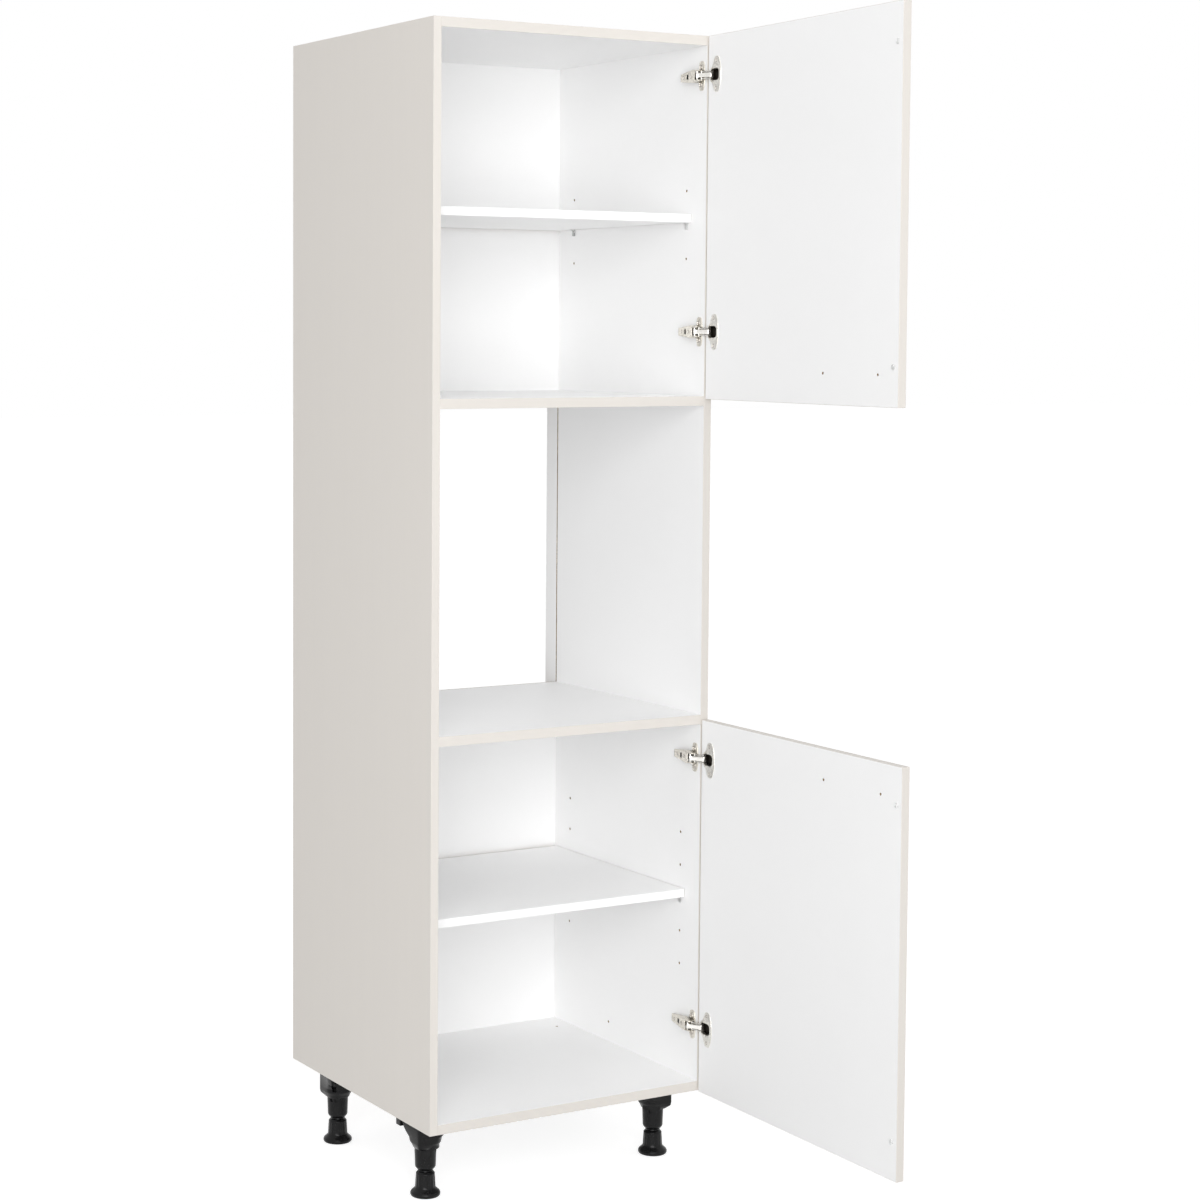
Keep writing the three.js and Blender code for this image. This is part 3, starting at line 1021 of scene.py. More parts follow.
@dataclass(frozen=True)
class DoorPose:
    """Where a door stands: drawn closed, then turned about its hinge axis.

    Args:
        body: Name of the door's body and node.
        low: Height of its lower edge.
        high: Height of its upper edge.
        degrees: How far it stands open.
        hinges: Heights of its hinges.
        pivot: x and y of its hinge axis.
    """

    body: str
    low: float
    high: float
    degrees: float
    hinges: Pair
    pivot: Pair = (291.7, -9.9)

    def placement(self, z: float) -> Placement:
        """Placement of a piece that is drawn on the closed door about a height."""
        return Placement.carcass(0, 0, z).turned(self.pivot, self.degrees)

    @property
    def origin(self) -> Triple:
        """The hinge axis in metres in the model's frame."""
        return (self.pivot[0] * MM, (self.pivot[1] + CARCASS_ORIGIN_MM[1]) * MM, 0.0)

    @property
    def turn(self) -> float:
        """The angle that the door stands open, in radians."""
        return math.radians(self.degrees)


UPPER_POSE = DoorPose("upper_door", 1322.5, 1999.5, 87.5, (1449.0, 1927.0))
LOWER_POSE = DoorPose("lower_door", -1.0, 715.0, 89.5, (125.0, 641.0))


@dataclass
class Door:
    """A door board with bands round its edges, and the two buffers that it closes on."""

    pose: DoorPose
    nodes: dict[str, bpy.types.Object]
    finishes: Finishes
    hinge_edge: float = 298.0
    width: float = 596.0
    thickness: float = 16.0
    edge_radius: float = 0.7
    buffer_radius: float = 5.0
    buffer_height: float = 2.0
    buffer_from_edge: float = 15.0
    buffer_from_top: float = 67.0
    buffer_from_bottom: float = 68.0

    def board(self) -> None:
        """White inside, beige outside and round the edges, bare core in the drilled holes."""
        pose = self.pose
        face = DOOR_FACE_Y - pose.pivot[1]
        x_low = self.hinge_edge - self.width - pose.pivot[0]
        x_high = self.hinge_edge - pose.pivot[0]
        base = CARCASS_ORIGIN_MM[2]
        covers = (
            Cover(1, (face - SKIN) * MM, True, Skin.WHITE),
            Cover(1, (face - self.thickness + SKIN) * MM, False, Skin.BEIGE),
            Cover(0, (x_low + BAND) * MM, False, Skin.BAND),
            Cover(0, (x_high - BAND) * MM, True, Skin.BAND),
            Cover(2, (base + pose.low + BAND) * MM, False, Skin.BAND),
            Cover(2, (base + pose.high - BAND) * MM, True, Skin.BAND),
        )
        finish = BoardFinish(pose.body + "_laminate", Skin.CORE, covers, pose.origin, pose.turn)
        repaint(self.nodes[pose.body], finish.make())
        soften(self.nodes[pose.body], self.edge_radius)

    def buffer(self, place: str, z: float) -> None:
        """A domed disc of clear plastic on the inner face, near the free edge.

        Args:
            place: Top or bottom, as in the node's name.
            z: Its height.
        """
        r, h = self.buffer_radius, self.buffer_height
        profile = rounded_path([
            (0, 0, 0), (r, 0, 0.1), (r - 0.3, h * 0.45, 0.6), (r * 0.62, h * 0.96, 1.6), (0, h, 0),
        ])
        node = f"{self.pose.body}_buffer_{place}"
        x = self.hinge_edge - self.width + self.buffer_from_edge
        dome = shifted(swapped(revolved(profile, 40), "z x y"), x, DOOR_FACE_Y)
        piece = Form(node + "_dome").rings(dome).build(self.pose.placement(z))
        dress(piece, self.finishes.clear, self.pose.body, node)

    def build(self) -> None:
        """Dresses the board and makes the buffers."""
        self.board()
        self.buffer("top", self.pose.high - self.buffer_from_top)
        self.buffer("bottom", self.pose.low + self.buffer_from_bottom)
        LOG.info("%s dressed", self.pose.body)


# ---------------------------------------------------------------- hinges


@dataclass(frozen=True)
class Link:
    """One link of a hinge, drawn from its pivot in the arm.

    Args:
        x: x of the pivot.
        y: y of the pivot.
        length: Distance to its far end.
        closed_degrees: Direction of the link with the door closed.
        ratio: Turn of the link for each turn of the door.
    """

    x: float
    y: float
    length: float
    closed_degrees: float
    ratio: float

    def direction(self, door_degrees: float) -> float:
        """The link's direction in radians with the door open by an angle."""
        return math.radians(self.closed_degrees + self.ratio * door_degrees)


def cup_finish(pose: DoorPose, level: str) -> bpy.types.Material:
    """Bright metal for the cups of a door, painted dark from some depth below the door's face as
    painted shade inside the cup.

    Args:
        pose: The door's pose.
        level: Upper or lower, as in the node names.

    Returns:
        The material.
    """
    # The inside of the cup is painted dark below this depth: painted shade.
    dark = (DOOR_FACE_Y - pose.pivot[1] - CUP_SHADE_DEPTH) * MM
    return MetalFinish(
        f"{level}_cup_nickel", (0.90, 0.88, 0.83), dark_below=dark, origin=pose.origin,
        turn=pose.turn,
    ).make()


@dataclass
class Hinge:
    """A clip-on cup hinge: mounting plate, arm, two links and a cup in the door.

    Its sizes are counted from its own height, so z is 0 at its middle.
    """

    pose: DoorPose
    level: str
    place: str
    z: float
    finishes: Finishes
    cup_finish: bpy.types.Material
    base_y: Pair = (6.0, 68.0)  # ends of the plate's base
    base_half: float = 7.6
    ridge_y: Pair = (9.0, 66.0)  # ends of the two ridges on it
    ridge_low: Pair = (-6.8, 4.2)  # their lower edges
    ridge_width: float = 2.6
    wing: tuple[Triple, ...] = (  # y, z and corner radius of the upper wing
        (25.6, 8.5, 3.0), (25.0, 15.0, 6.0), (22.8, 27.5, 5.5), (10.6, 27.5, 5.5), (7.4, 15.0, 6.0),
        (6.6, 8.5, 3.0),
    )
    collar: tuple[Triple, ...] = ((0, 1.9, 0), (5.2, 1.9, 0), (4.9, 2.6, 0.3), (0, 2.6, 0))
    wing_screw: Pair = (18.5, 16.0)  # y, and z above and below the middle
    wing_head: Triple = (4.3, 2.0, 1.4)  # radius, height and depth of the cross
    arm_screws: tuple[Triple, ...] = ((33.0, 268.9, 3.6), (64.0, 274.6, 3.2))  # y, x and radius
    arm_stations: tuple[Triple, ...] = (  # y, x of the top and half width
        (78.0, 276.4, 7.2), (68.0, 275.2, 8.0), (48.0, 272.2, 10.4), (36.0, 269.8, 11.4),
        (26.0, 267.6, 12.4), (19.0, 266.1, 10.6), (16.0, 265.4, 10.0), (7.0, 265.4, 10.0),
        (4.5, 266.6, 10.0),
    )
    arm_section: tuple[Pair, ...] = (  # shares of its rise and half width, from foot to foot
        (0, -1), (0.62, -1), (0.84, -0.985), (0.96, -0.93), (1, -0.8), (1, -0.42),
        (1, 0.42), (1, 0.8), (0.96, 0.93), (0.84, 0.985), (0.62, 1), (0, 1),
    )
    arm_foot: float = 3.9  # distance of its feet from the side panel
    arm_wall: float = 1.2
    arm_slot: Pair = (44.4, 52.0)
    insert: tuple[Pair, Pair] = ((42.0, 54.0), (-5.0, 5.0))  # y and z of the dark block under the slot, painted shade inside the arm
    fork_end: float = 17.0
    outer: Link = Link(276.0, 8.0, 21.6, -56.3, -0.18)
    inner: Link = Link(268.5, 11.5, 28.0, -50.1, -0.10)
    link_half: float = 1.5  # half width of both links, as seen from above
    eye: float = 2.4
    outer_z: Pair = (5.2, 6.8)  # faces of the outer link's upper bar, halfway along
    outer_flare: float = 1.7  # how far the bars move apart towards both ends
    inner_z: Pair = (-4.4, 4.4)
    inner_waist: float = 0.14  # share of its breadth that the inner link loses halfway along
    pin_radius: float = 1.3
    pin_half: float = 9.6
    cup_x: float = 277.5
    cup_rim: float = 17.5
    cup_depth: float = 11.5
    cup_points: int = 144
    pocket: tuple[Pair, Pair] = ((261.8, 293.2), (-10.8, 10.8))  # x and z
    pocket_radius: float = 7.0
    flange: tuple[Triple, ...] = (  # x, z and corner radius of its upper half
        (286.0, 9.0, 10.0), (280.5, 23.0, 14.0), (276.0, 33.5, 6.0), (264.0, 33.5, 6.0),
        (259.5, 27.0, 14.0), (255.0, 9.0, 16.0),
    )
    cup_screw: Pair = (271.5, 26.0)  # x, and z above and below the middle
    cup_head: Triple = (3.6, 1.0, 1.2)  # radius, height and depth of the cross

    @property
    def stem(self) -> str:
        """Start of the hinge's node names."""
        return f"{self.level}_hinge_{self.place}"

    def _add(
        self, name: str, parts: Sequence[Points], material: bpy.types.Material, body: str,
        node: str = "",
    ) -> None:
        """Builds a piece, drawn on the closed door if it rides on it, and dresses it.

        Args:
            name: Last words of the piece's name.
            parts: Rings of each of its parts.
            material: Its finish.
            body: The body it rides on.
            node: Last words of the name of the node that it replaces, or nothing.
        """
        form = Form(f"{self.stem}_{name}")
        for rings in parts:
            form.rings(rings)
        on_door = body == self.pose.body
        place = self.pose.placement(self.z) if on_door else Placement.carcass(z=self.z)
        dress(form.build(place), material, body, node and f"{self.stem}_{node}")

    @staticmethod
    def _outward(rings: Points, x: float, y: float = 0.0, z: float = 0.0) -> Points:
        """Turns a part drawn standing on z = 0 to stand on the side panel, and moves it."""
        return shifted(swapped(rings, "y z -x"), x, y, z)

    def plate(self) -> None:
        """The mounting plate: a long base with two ridges, and wings with a screw in each."""
        half = self.base_half
        parts = [plate_rings(rounded_rectangle(self.base_y, (-half, half), 2.0), 0.0, 3.0, 0.5)]
        for low in self.ridge_low:
            ridge = rounded_rectangle(self.ridge_y, (low, low + self.ridge_width), 1.0)
            parts.append(plate_rings(ridge, 2.5, 4.0, 0.5))
        parts.append(plate_rings(doubled_path(self.wing), 0.0, 2.0, 0.6))
        parts = [self._outward(rings, INNER_X) for rings in parts]
        self._add("plate_body", parts, self.finishes.nickel, "cabinet", "plate")
        y, away = self.wing_screw
        collar = revolved(rounded_path(self.collar), 40)
        screw = (collar, shifted(screw_head(*self.wing_head), z=2.4))
        heads = [self._outward(rings, INNER_X, y, z) for z in (-away, away) for rings in screw]
        self._add("plate_screws", heads, self.finishes.screw, "cabinet")

    def arm(self) -> None:
        """The arm: a tapered channel of sheet steel with a slot and a forked front end.

        A section is carried along the arm: up one side wall, over the top with rounded corners
        and down the other wall, with width and height interpolated between the stations. The end
        rows fall away to the plate, and the slot and the fork are left out of the sheet.
        """
        rear, front = self.arm_stations[0][0], self.arm_stations[-1][0]
        slot_low, slot_high = self.arm_slot
        y = np.concatenate([
            [rear, rear - 0.8], np.linspace(rear - 2, slot_high + 2, 9),
            np.linspace(slot_high, slot_low, 4), np.linspace(slot_low - 2, self.fork_end + 1, 12),
            np.linspace(self.fork_end, front + 2, 5), [front + 0.9, front],
        ])
        table = np.array(self.arm_stations)[::-1]
        top = np.interp(y, table[:, 0], table[:, 1])
        half = np.interp(y, table[:, 0], table[:, 2])
        drop = 1.2 * np.clip(y - rear + 1.5, 0, None) + 0.8 * np.clip(front + 1.5 - y, 0, None)
        height, width = np.array(self.arm_section, float).T
        foot = INNER_X - self.arm_foot
        rise = (foot - (top + drop))[:, None]
        grid = np.stack([foot - rise * height, y[:, None] + 0 * height, half[:, None] * width], -1)
        middle = 0.5 * (y[1:] + y[:-1])
        keep = np.ones((len(y) - 1, len(height) - 1), bool)
        keep[(middle > slot_low) & (middle < slot_high), 5] = False
        keep[middle < self.fork_end, 3:8] = False
        form = Form(f"{self.stem}_arm_channel").sheet(grid, keep)
        piece = form.build(Placement.carcass(z=self.z), 50)
        wall = piece.modifiers.new("sheet steel", "SOLIDIFY")
        wall.thickness = self.arm_wall * MM
        wall.offset = -1.0
        dress(piece, self.finishes.nickel, "cabinet", f"{self.stem}_arm")

    def arm_details(self) -> None:
        """Adjusting screws on the arm, and a near-black block under its slot as painted shade
        inside the channel.
        """
        heads = [self._outward(shifted(screw_head(radius, 1.1, 1.0), z=-0.2), x, y)
                 for y, x, radius in self.arm_screws]
        self._add("arm_screws", heads, self.finishes.screw, "cabinet")
        # Painted shade: a near-black block under the slot, where the channel's inside is in shade.
        block = plate_rings(rounded_rectangle(*self.insert, 1.0), 6.0, 9.4, 0.3)
        self._add("arm_insert", [self._outward(block, INNER_X)], self.finishes.recess, "cabinet")

    def links(self) -> None:
        """Outer link: two bars that flare apart at both ends. Inner link: a broad waisted plate."""
        bars = []
        for sign in (1.0, -1.0):
            bar = self._bar(self.outer, *self.outer_z)
            bar[..., 2] = sign * (bar[..., 2] + self._swell(self.outer, bar, self.outer_flare))
            bars.append(bar)
        bright, parts = self.finishes.bright, [*bars, self._pin(self.outer)]
        self._add("outer_link_bars", parts, bright, f"{self.level}_outer_links", "outer_link")
        plate = self._bar(self.inner, *self.inner_z)
        plate[..., 2] *= 1 - self.inner_waist + self._swell(self.inner, plate, self.inner_waist)
        parts = [plate, self._pin(self.inner)]
        self._add("inner_link_bar", parts, bright, f"{self.level}_inner_links", "inner_link")

    @staticmethod
    def _swell(link: Link, points: Points, most: float) -> Points:
        """A value that is zero halfway along a link and grows with the square towards its ends.

        With d the distance from the pivot as a share of the link's length, it is most * (2d - 1)^2,
        held at most beyond the ends.

        Args:
            link: The link.
            points: Points on the link.
            most: The value at its ends.

        Returns:
            The value at each point.
        """
        away = np.hypot(points[..., 0] - link.x, points[..., 1] - link.y) / link.length
        return most * np.clip(2 * away - 1, -1, 1) ** 2

    def _bar(self, link: Link, low: float, high: float) -> Points:
        """Rings of a flat bar with a round eye: its outline is carried up from low to high.

        Args:
            link: The link.
            low: Lower face.
            high: Upper face.

        Returns:
            Array of rings.
        """
        angle, half = link.direction(self.pose.degrees), self.link_half
        t = np.linspace(math.radians(50), math.radians(310), 21)
        eye = self.eye * np.stack([np.cos(t), np.sin(t)], -1)
        end = link.length + half
        side = [(end * 0.35, half), (end * 0.55, half), (end * 0.8, half), (end - 1.2, half),
                (end - 0.3, half * 0.7)]
        tail = [(x, -y) for x, y in side] + [(end, 0.0)] + side[::-1]
        turn = np.array([[math.cos(angle), math.sin(angle)], [-math.sin(angle), math.cos(angle)]])
        outline = np.concatenate([eye, tail]) @ turn + np.array([link.x, link.y])
        return plate_rings(outline, low, high, 0.3, 2)

    def _pin(self, link: Link) -> Points:
        """Rings of the pin that a link turns on, with rounded ends.

        Args:
            link: The link.

        Returns:
            Array of rings.
        """
        h, r = self.pin_half, self.pin_radius
        path = rounded_path([(0, -h, 0), (r, -h, 0.4), (r, h, 0.4), (0, h, 0)])
        return shifted(revolved(path, 24), link.x, link.y)

    def cup(self) -> None:
        """The cup: a bowl in the door, a rim and flange on its face and a pocket for the links.

        Rings with the same number of points follow each other from the middle of the bowl's
        underside, round the bowl, out and round the flange, in to the pocket and down to its
        floor. Each ring is given by a closed outline sampled at equal steps of direction. The
        flange covers the rim where it reaches further out, and stands a little higher there.
        """
        depth, rim = self.cup_depth, self.cup_rim
        angle = directions(self.cup_points) - 0.75 * math.pi
        lens = self._reach(doubled_path(self.flange, 8), angle)
        reach = np.maximum(lens, rim + 0.05)
        lift = 0.55 + 0.65 * np.clip((lens - rim + 1.5) / 1.5, 0, 1)
        inner = self._reach(rounded_rectangle(*self.pocket, self.pocket_radius), angle)
        steps = [  # radius, and height over the door's face
            (0.0, -depth), (15.5, -depth), (17.0, 0.5 - depth), (rim, 2.0 - depth), (rim, 0.0),
            (reach - 0.15, 0.0), (reach, 0.2 * lift), (reach, 0.6 * lift),
            (reach - 0.25, 0.9 * lift), (reach - 0.6, lift), (0.5 * (reach + inner), lift),
            (inner + 0.7, lift), (inner + 0.2, lift - 0.2), (inner, lift - 0.6),
            (inner, 1.0 - depth), (0.0, 1.0 - depth),
        ]
        radii, heights = (np.stack([size + 0 * angle for size in sizes]) for sizes in zip(*steps))
        bowl = shifted(swapped(around(radii, angle, heights), "x z y"), self.cup_x, DOOR_FACE_Y)
        # The bowl's metal carries the painted shade inside the cup and its pocket.
        self._add("cup_bowl", [bowl], self.cup_finish, self.pose.body, "cup")
        x, away = self.cup_screw
        head = swapped(shifted(screw_head(*self.cup_head), z=1.0), "z x y")
        heads = [shifted(head, x, DOOR_FACE_Y, z) for z in (-away, away)]
        self._add("cup_screws", heads, self.finishes.screw, self.pose.body)

    def _reach(self, outline: Points, angle: Points) -> Points:
        """How far a closed outline lies from the cup's middle in each direction.

        The outline's points are sorted by direction and interpolated between.

        Args:
            outline: Array of shape (n, 2) of x and z.
            angle: The directions.

        Returns:
            A distance for each direction.
        """
        away = outline - np.array([self.cup_x, 0.0])
        seen = np.arctan2(away[:, 1], away[:, 0])
        order = np.argsort(seen)
        turned = (angle + math.pi) % FULL_TURN - math.pi
        x, z = (np.interp(turned, seen[order], away[order, k], period=FULL_TURN) for k in (0, 1))
        return np.hypot(x, z)

    def build(self) -> None:
        """Makes the whole hinge."""
        self.plate()
        self.arm()
        self.arm_details()
        self.links()
        self.cup()
        LOG.info("%s made", self.stem)


# ---------------------------------------------------------------- feet


@dataclass
class Foot:
    """An adjustable foot: socket under the carcass, sleeve, and screwed foot with a flared base.

    It is drawn about its axis, with -x towards its side of the carcass and -y towards its end of
    it. Angles are in radians, and paths are given by radius, height and corner radius.
    """

    side: Side
    end: End
    finishes: Finishes
    x: float = 252.0  # distance of the axis from the unit's middle
    y: dict[End, float] = field(default_factory=lambda: {End.FRONT: 103.0, End.REAR: 462.0})
    segments: int = 160
    plan: tuple[tuple[float, ...], ...] = (  # height, half width, cut, half width to the corner
        (-0.02, 35.6, 6.0, 27.6), (-0.6, 36.0, 6.0, 28.0), (-14.0, 34.5, 7.0, 28.0),
        (-27.0, 31.0, 10.0, 28.0), (-35.0, 29.0, 15.0, 28.0), (-43.0, 28.5, 15.0, 28.0),
        (-49.0, 24.5, 12.0, 27.0), (-54.4, 21.9, 10.0, 21.9), (-55.0, 21.4, 10.0, 21.4),
    )
    corner_cut: float = 4.0  # cut of the corner that points to the carcass's own corner
    corner_half: float = math.radians(48)  # half the width of the quarter round that corner
    corner_fade: float = math.radians(12)
    firm_power: tuple[Pair, ...] = ((46.0, 36.0), (54.0, 12.0))  # depth and power in it
    soft_power: tuple[Pair, ...] = ((20.0, 36.0), (34.0, 14.0), (43.0, 8.0))  # and elsewhere
    groove_at: float = math.radians(130)
    groove_half: float = math.radians(6.5)
    groove_z: Pair = (-40.0, -12.0)
    groove_depth: float = 5.5
    lip_at: float = math.radians(312)
    lip_z: Pair = (-54.9, -40.0)
    lip_from: float = 21.0
    lip_out: float = 5.0
    bore: tuple[Pair, ...] = ((18.2, -55.0), (17.75, -54.5), (17.7, -8.0), (0.0, -8.0))
    lug: tuple[Pair, Pair] = ((-37.0, -29.0), (30.0, 47.0))  # x and y
    lug_drop: float = 19.0
    sleeve_path: tuple[Triple, ...] = (
        (12.6, -18.0, 0), (7.0, -18.0, 0), (7.0, -10.2, 0), (17.4, -10.2, 0.6), (17.4, -55.3, 0.2),
        (20.5, -55.3, 0.5), (20.5, -56.3, 0), (20.5, -56.4, 0), (20.3, -62.3, 0), (20.3, -62.4, 0),
        (19.4, -88.9, 2.0), (18.7, -91.2, 1.2), (14.5, -96.4, 0.8), (12.6, -96.5, 0.2),
        (12.6, -18.0, 0),
    )
    notches: tuple[float, ...] = (math.radians(125), math.radians(154), math.radians(315))
    notch_half: float = 0.15
    notch_z: Pair = (-62.35, -56.35)
    notch_depth: float = 2.4
    shank_radius: float = 11.7
    shank_z: Pair = (-30.2, -99.4)
    thread_depth: float = 0.25
    thread_pitch: float = 3.0
    head_path: tuple[Triple, ...] = (
        (11.7, -99.7, 0), (14.8, -99.8, 0.6), (17.6, -102.9, 1.4), (17.9, -106.5, 0),
    )
    base_path: tuple[Triple, ...] = (
        (19.1, -127.5, 0), (19.4, -129.8, 3.0), (22.4, -133.0, 3.0), (26.4, -136.4, 2.0),
        (28.0, -139.2, 1.2), (28.0, -142.2, 1.0), (26.8, -144.4, 0.8), (26.0, -145.0, 0.3),
        (0.0, -145.0, 0),
    )
    flutes: int = 16
    flute_depth: float = 0.65

    @property
    def stem(self) -> str:
        """Start of the foot's node names."""
        return f"foot_{self.end.word}_{self.side.word}"

    def _finish(self, form: Form, sharp: float, body: str, node: str) -> None:
        """Builds a piece of the foot, dresses it and lets it stand for a node.

        Args:
            form: Its form, about the foot's axis.
            sharp: Edges that turn by more than this many degrees stay sharp.
            body: Name of the body it rides on.
            node: Last word of the node's name.
        """
        at = Placement.carcass(self.side.value * self.x, self.y[self.end], 0)
        piece = form.build(at.mirrored(-self.side.value, -self.end.value), sharp)
        dress(piece, self.finishes.black, body, f"{self.stem}_{node}")

    def _outline(self, levels: NDArray[np.float64]) -> Points:
        """Corners of the socket's plan at each level: a square with cut corners, one drawn in.

        Args:
            levels: Rows of height, half width, cut and half width towards the carcass's corner.

        Returns:
            Eight corners for each row, counted anticlockwise.
        """
        half, cut, near = levels[:, 1], levels[:, 2], levels[:, 3]
        a, b, c = half, half - cut, near - self.corner_cut
        x = np.stack([-near, -c, b, a, a, b, -b, -a], 1)
        y = np.stack([-c, -near, -a, -b, b, a, a, b], 1)
        return np.stack([x, y], -1)

    def socket(self) -> None:
        """The socket: a square moulding that narrows to a round rim, with a lug on one side.

        For a side of the plan at distance d from the axis, seen at angle t from its own direction,
        the radius is d / cos t. The plan's radius is the soft minimum of that over its sides, the
        power of which falls with the height, so that the corners get rounder towards the rim. The
        quarter towards the carcass's corner keeps the high power. Within the groove's width and
        height the radius falls by the groove's depth. Low down it isn't less than that of the lip,
        which stands out on one side and fades with the cosine of the angle from its middle.
        """
        plan = np.array(self.plan)
        edges = [end + step for end in self.groove_z for step in (0.1, -0.1)]
        z = np.unique(np.concatenate([plan[:, 0], np.linspace(-2.0, -54.0, 27), edges]))[::-1]
        levels = np.stack([z, *(np.interp(-z, -plan[:, 0], plan[:, k]) for k in (1, 2, 3))], 1)
        corners = self._outline(levels)
        along = np.roll(corners, -1, axis=1) - corners
        normal = np.stack([along[..., 1], -along[..., 0]], -1)
        normal = normal / np.linalg.norm(along, axis=-1, keepdims=True)
        distance = np.sum(normal * corners, -1)
        angle, z = directions(self.segments), z[:, None]
        facing = normal @ np.stack([np.cos(angle), np.sin(angle)])
        past = self.corner_half - abs(angle - 1.25 * math.pi)
        share = np.clip(past / self.corner_fade, 0, 1)
        soft, firm = (np.interp(-z, *zip(*power)) for power in (self.soft_power, self.firm_power))
        power = soft + share * (firm - soft)
        sides = np.clip(facing / distance[..., None], 1e-6, None)
        radius = np.sum(sides ** power[:, None, :], axis=1) ** (-1 / power)
        within = abs(angle - self.groove_at) < self.groove_half
        groove = within & (z > self.groove_z[0]) & (z < self.groove_z[1])
        radius = radius - self.groove_depth * groove
        fade = np.clip((np.cos(angle - self.lip_at) - 0.45) / 0.3, 0, 1)
        lip = self.lip_from + self.lip_out * fade
        low = (z > self.lip_z[0]) & (z < self.lip_z[1])
        radius = np.where(low, np.maximum(radius, lip), radius)
        roof = revolved([(0.0, -0.02)], self.segments)
        skin, bore = around(radius, angle, z), revolved(self.bore, self.segments)
        form = Form(f"{self.stem}_socket_moulding").rings(np.concatenate([roof, skin, bore]))
        form.rings(plate_rings(rounded_rectangle(*self.lug, 1.5), -self.lug_drop, -0.02, 0.8))
        self._finish(form, 34, "cabinet", "socket")

    def sleeve(self) -> None:
        """The sleeve: a tube on a spigot, tapering in to its neck, with small square notches.

        Radius is a function of angle and height: the profile's radius, less the notch's depth
        where both its angle and its height lie inside a notch.
        """
        path = rounded_path(self.sleeve_path)
        r, z, edge = path[:, :1], path[:, 1:], self.notch_half
        steps = (-edge, 0.01 - edge, edge - 0.01, edge)
        cuts = [at + step for at in self.notches for step in steps]
        angle = np.sort(np.concatenate([directions(72), cuts]))
        near = np.min(abs(angle[:, None] - np.array(self.notches)), axis=1) < edge - 0.005
        inside = near & (z > self.notch_z[0]) & (z < self.notch_z[1]) & (r > 20)
        rings = around(r + 0 * angle - self.notch_depth * inside, angle, z)
        self._finish(Form(f"{self.stem}_sleeve_moulding").rings(rings), 30, "cabinet", "sleeve")

    def screw(self) -> None:
        """The lower foot: threaded shank, a fluted grip and a flared base.

        On the grip the radius falls by the flutes' depth times |sin| of half the flutes' number
        times the angle, faded out at both ends. On the shank it rises and falls once for every
        pitch of the thread.
        """
        shank = np.stack([np.full(140, self.shank_radius), np.linspace(*self.shank_z, 140)], -1)
        shank[1:-1, 0] += self.thread_depth * np.cos(shank[1:-1, 1] * FULL_TURN / self.thread_pitch)
        head, base = rounded_path(self.head_path), rounded_path(self.base_path, steps=8)
        heights = np.linspace(-107.5, -126.5, 11)
        ends = np.array([self.head_path[-1], self.base_path[0]])
        grip = np.stack([np.interp(-heights, -ends[:, 1], ends[:, 0]), heights], -1)
        profile = np.concatenate([[[0.0, -30.0], [11.4, -30.0]], shank, head, grip, base])
        angle, z = directions(self.segments), profile[:, 1:]
        window = np.clip((-z - 103.5) / 2.5, 0, 1) * np.clip((129.5 + z) / 4.0, 0, 1)
        r = profile[:, :1] - self.flute_depth * window * abs(np.sin(self.flutes / 2 * angle))
        form = Form(f"{self.stem}_screw_moulding").rings(around(r, angle, z))
        self._finish(form, 30, self.stem, "screw")

    def build(self) -> None:
        """Makes the whole foot."""
        self.socket()
        self.sleeve()
        self.screw()
        LOG.info("%s made", self.stem)


# ---------------------------------------------------------------- stage


@dataclass(frozen=True)
class Lamp:
    """A square soft lamp.

    Args:
        name: Name of the lamp.
        at: Its place in metres.
        aim: The point that it faces.
        size: Length of its side in metres.
        watts: Its power.
    """

    name: str
    at: Triple
    aim: Triple
    size: float
    watts: float

    def build(self) -> None:
        """Hangs the lamp."""
        data = bpy.data.lights.new(self.name, "AREA")
        data.size = self.size
        data.energy = self.watts
        lamp = bpy.data.objects.new(self.name, data)
        bpy.context.scene.collection.objects.link(lamp)
        lamp.location = self.at
        away = Vector(self.at) - Vector(self.aim)
        lamp.rotation_euler = away.to_track_quat("Z", "Y").to_euler()


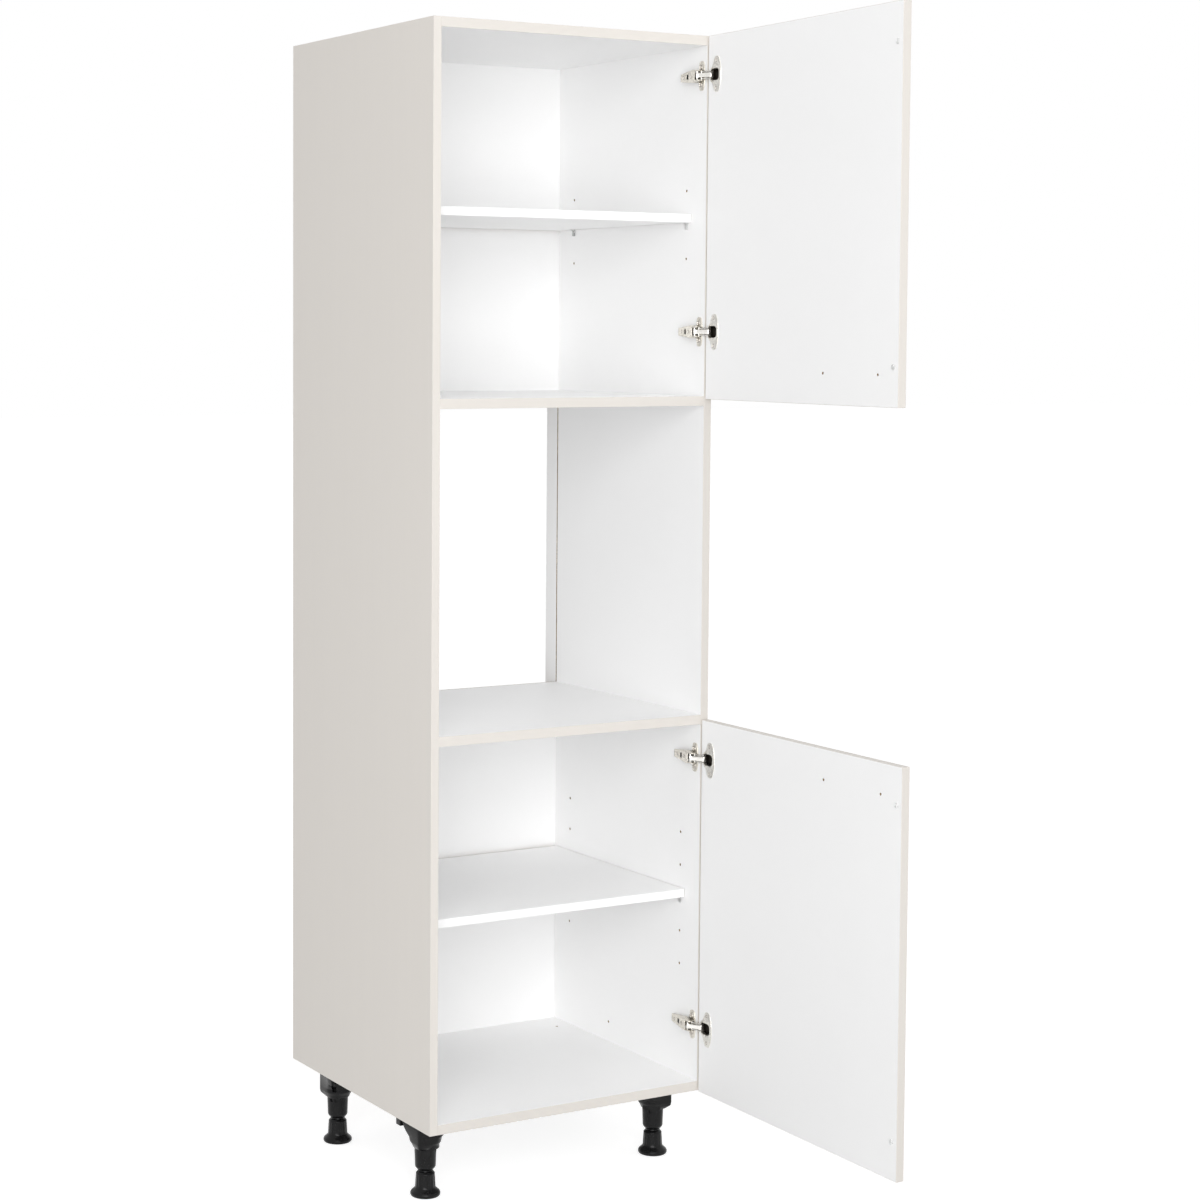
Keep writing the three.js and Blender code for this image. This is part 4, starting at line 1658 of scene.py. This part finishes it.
@dataclass
class Studio:
    """Floor, light and camera. Yaw, pitch and roll of the camera are in radians."""

    floor_half: float = 40.0
    floor_white: float = 0.58
    floor_glow: float = 0.71
    ambient: float = 0.585
    lamps: tuple[Lamp, ...] = (
        Lamp("key", (-2.7, -4.5, 1.9), (0.0, 0.2, 1.1), 3.6, 194.0),
        Lamp("top", (-0.6, -1.8, 5.0), (0.0, 0.2, 0.6), 3.0, 29.0),
    )
    image: float = 1200.0
    focal_px: float = 2535.42
    centre_px: Pair = (462.94, 489.47)
    position_mm: Triple = (-2468.37, -3925.26, 1445.56)
    yaw: float = 0.5169
    pitch: float = -0.0618
    roll: float = 0.0044
    bounces: int = 8

    def floor(self) -> None:
        """A wide flat floor that looks white and keeps the unit's soft shadow."""
        h = self.floor_half
        mesh = bpy.data.meshes.new("floor")
        mesh.from_pydata([(-h, -h, 0), (h, -h, 0), (h, h, 0), (-h, h, 0)], [], [(0, 1, 2, 3)])
        floor = bpy.data.objects.new("floor", mesh)
        bpy.context.scene.collection.objects.link(floor)
        material = bpy.data.materials.new("studio_floor")
        material.use_nodes = True
        nodes = Nodes(material.node_tree)
        level = nodes.math("MULTIPLY", nodes.seen(), self.floor_glow)
        diffuse = nodes.node("ShaderNodeBsdfDiffuse", {"Color": [self.floor_white] * 3})
        glow = nodes.node("ShaderNodeEmission", {"Color": WHITE, "Strength": level})
        both = nodes.node("ShaderNodeAddShader", {0: diffuse[0], 1: glow[0]})
        nodes.node("ShaderNodeOutputMaterial", {"Surface": both[0]})
        mesh.materials.append(material)

    def world(self) -> None:
        """An even white surround: strength 1 for what is seen, less for what it lights."""
        world = bpy.data.worlds.new("studio")
        bpy.context.scene.world = world
        world.use_nodes = True
        nodes = Nodes(world.node_tree)
        level = nodes.spread(nodes.seen(), self.ambient, 1.0)
        back = nodes.node("ShaderNodeBackground", {"Color": WHITE, "Strength": level})
        nodes.node("ShaderNodeOutputWorld", {"Surface": back[0]})

    def camera(self) -> None:
        """The camera at the photograph's viewing angle."""
        data = bpy.data.cameras.new("camera")
        data.sensor_width = 36.0
        data.sensor_fit = "AUTO"
        data.lens = self.focal_px / self.image * data.sensor_width
        data.shift_x = (self.image / 2 - self.centre_px[0]) / self.image
        data.shift_y = (self.centre_px[1] - self.image / 2) / self.image
        data.clip_end = 200.0
        right = np.array([math.cos(self.yaw), -math.sin(self.yaw), 0.0])
        level = np.array([math.sin(self.yaw), math.cos(self.yaw), 0.0])
        forward = level * math.cos(self.pitch) + np.array([0.0, 0.0, math.sin(self.pitch)])
        up = np.cross(right, forward)
        x = right * math.cos(self.roll) + up * math.sin(self.roll)
        y = -right * math.sin(self.roll) + up * math.cos(self.roll)
        camera = bpy.data.objects.new("camera", data)
        bpy.context.scene.collection.objects.link(camera)
        matrix = Matrix(np.stack([x, y, -forward], 1).tolist()).to_4x4()
        matrix.translation = np.add(self.position_mm, CARCASS_ORIGIN_MM) * MM
        camera.matrix_world = matrix
        bpy.context.scene.camera = camera

    def build(self) -> None:
        """Sets up the studio."""
        self.floor()
        self.world()
        for lamp in self.lamps:
            lamp.build()
        self.camera()
        bpy.context.scene.view_settings.view_transform = "Standard"
        bpy.context.scene.cycles.diffuse_bounces = self.bounces
        LOG.info("studio ready")


# ---------------------------------------------------------------- the unit


def main() -> None:
    """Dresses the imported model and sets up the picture."""
    logging.basicConfig(level=logging.INFO, format="%(name)s: %(message)s")
    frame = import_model()
    nodes = frame["nodes"]
    Studio().build()
    finishes = Finishes()
    Carcass(nodes).build()
    ShelfSupports(finishes).build()
    for pose, level in ((UPPER_POSE, "upper"), (LOWER_POSE, "lower")):
        Door(pose, nodes, finishes).build()
        # Cup metal with painted shade inside the cup.
        cup = cup_finish(pose, level)
        for place, z in zip(("bottom", "top"), pose.hinges):
            Hinge(pose, level, place, z, finishes, cup).build()
    for side in Side:
        for end in End:
            Foot(side, end, finishes).build()


if __name__ == "__main__":
    main()
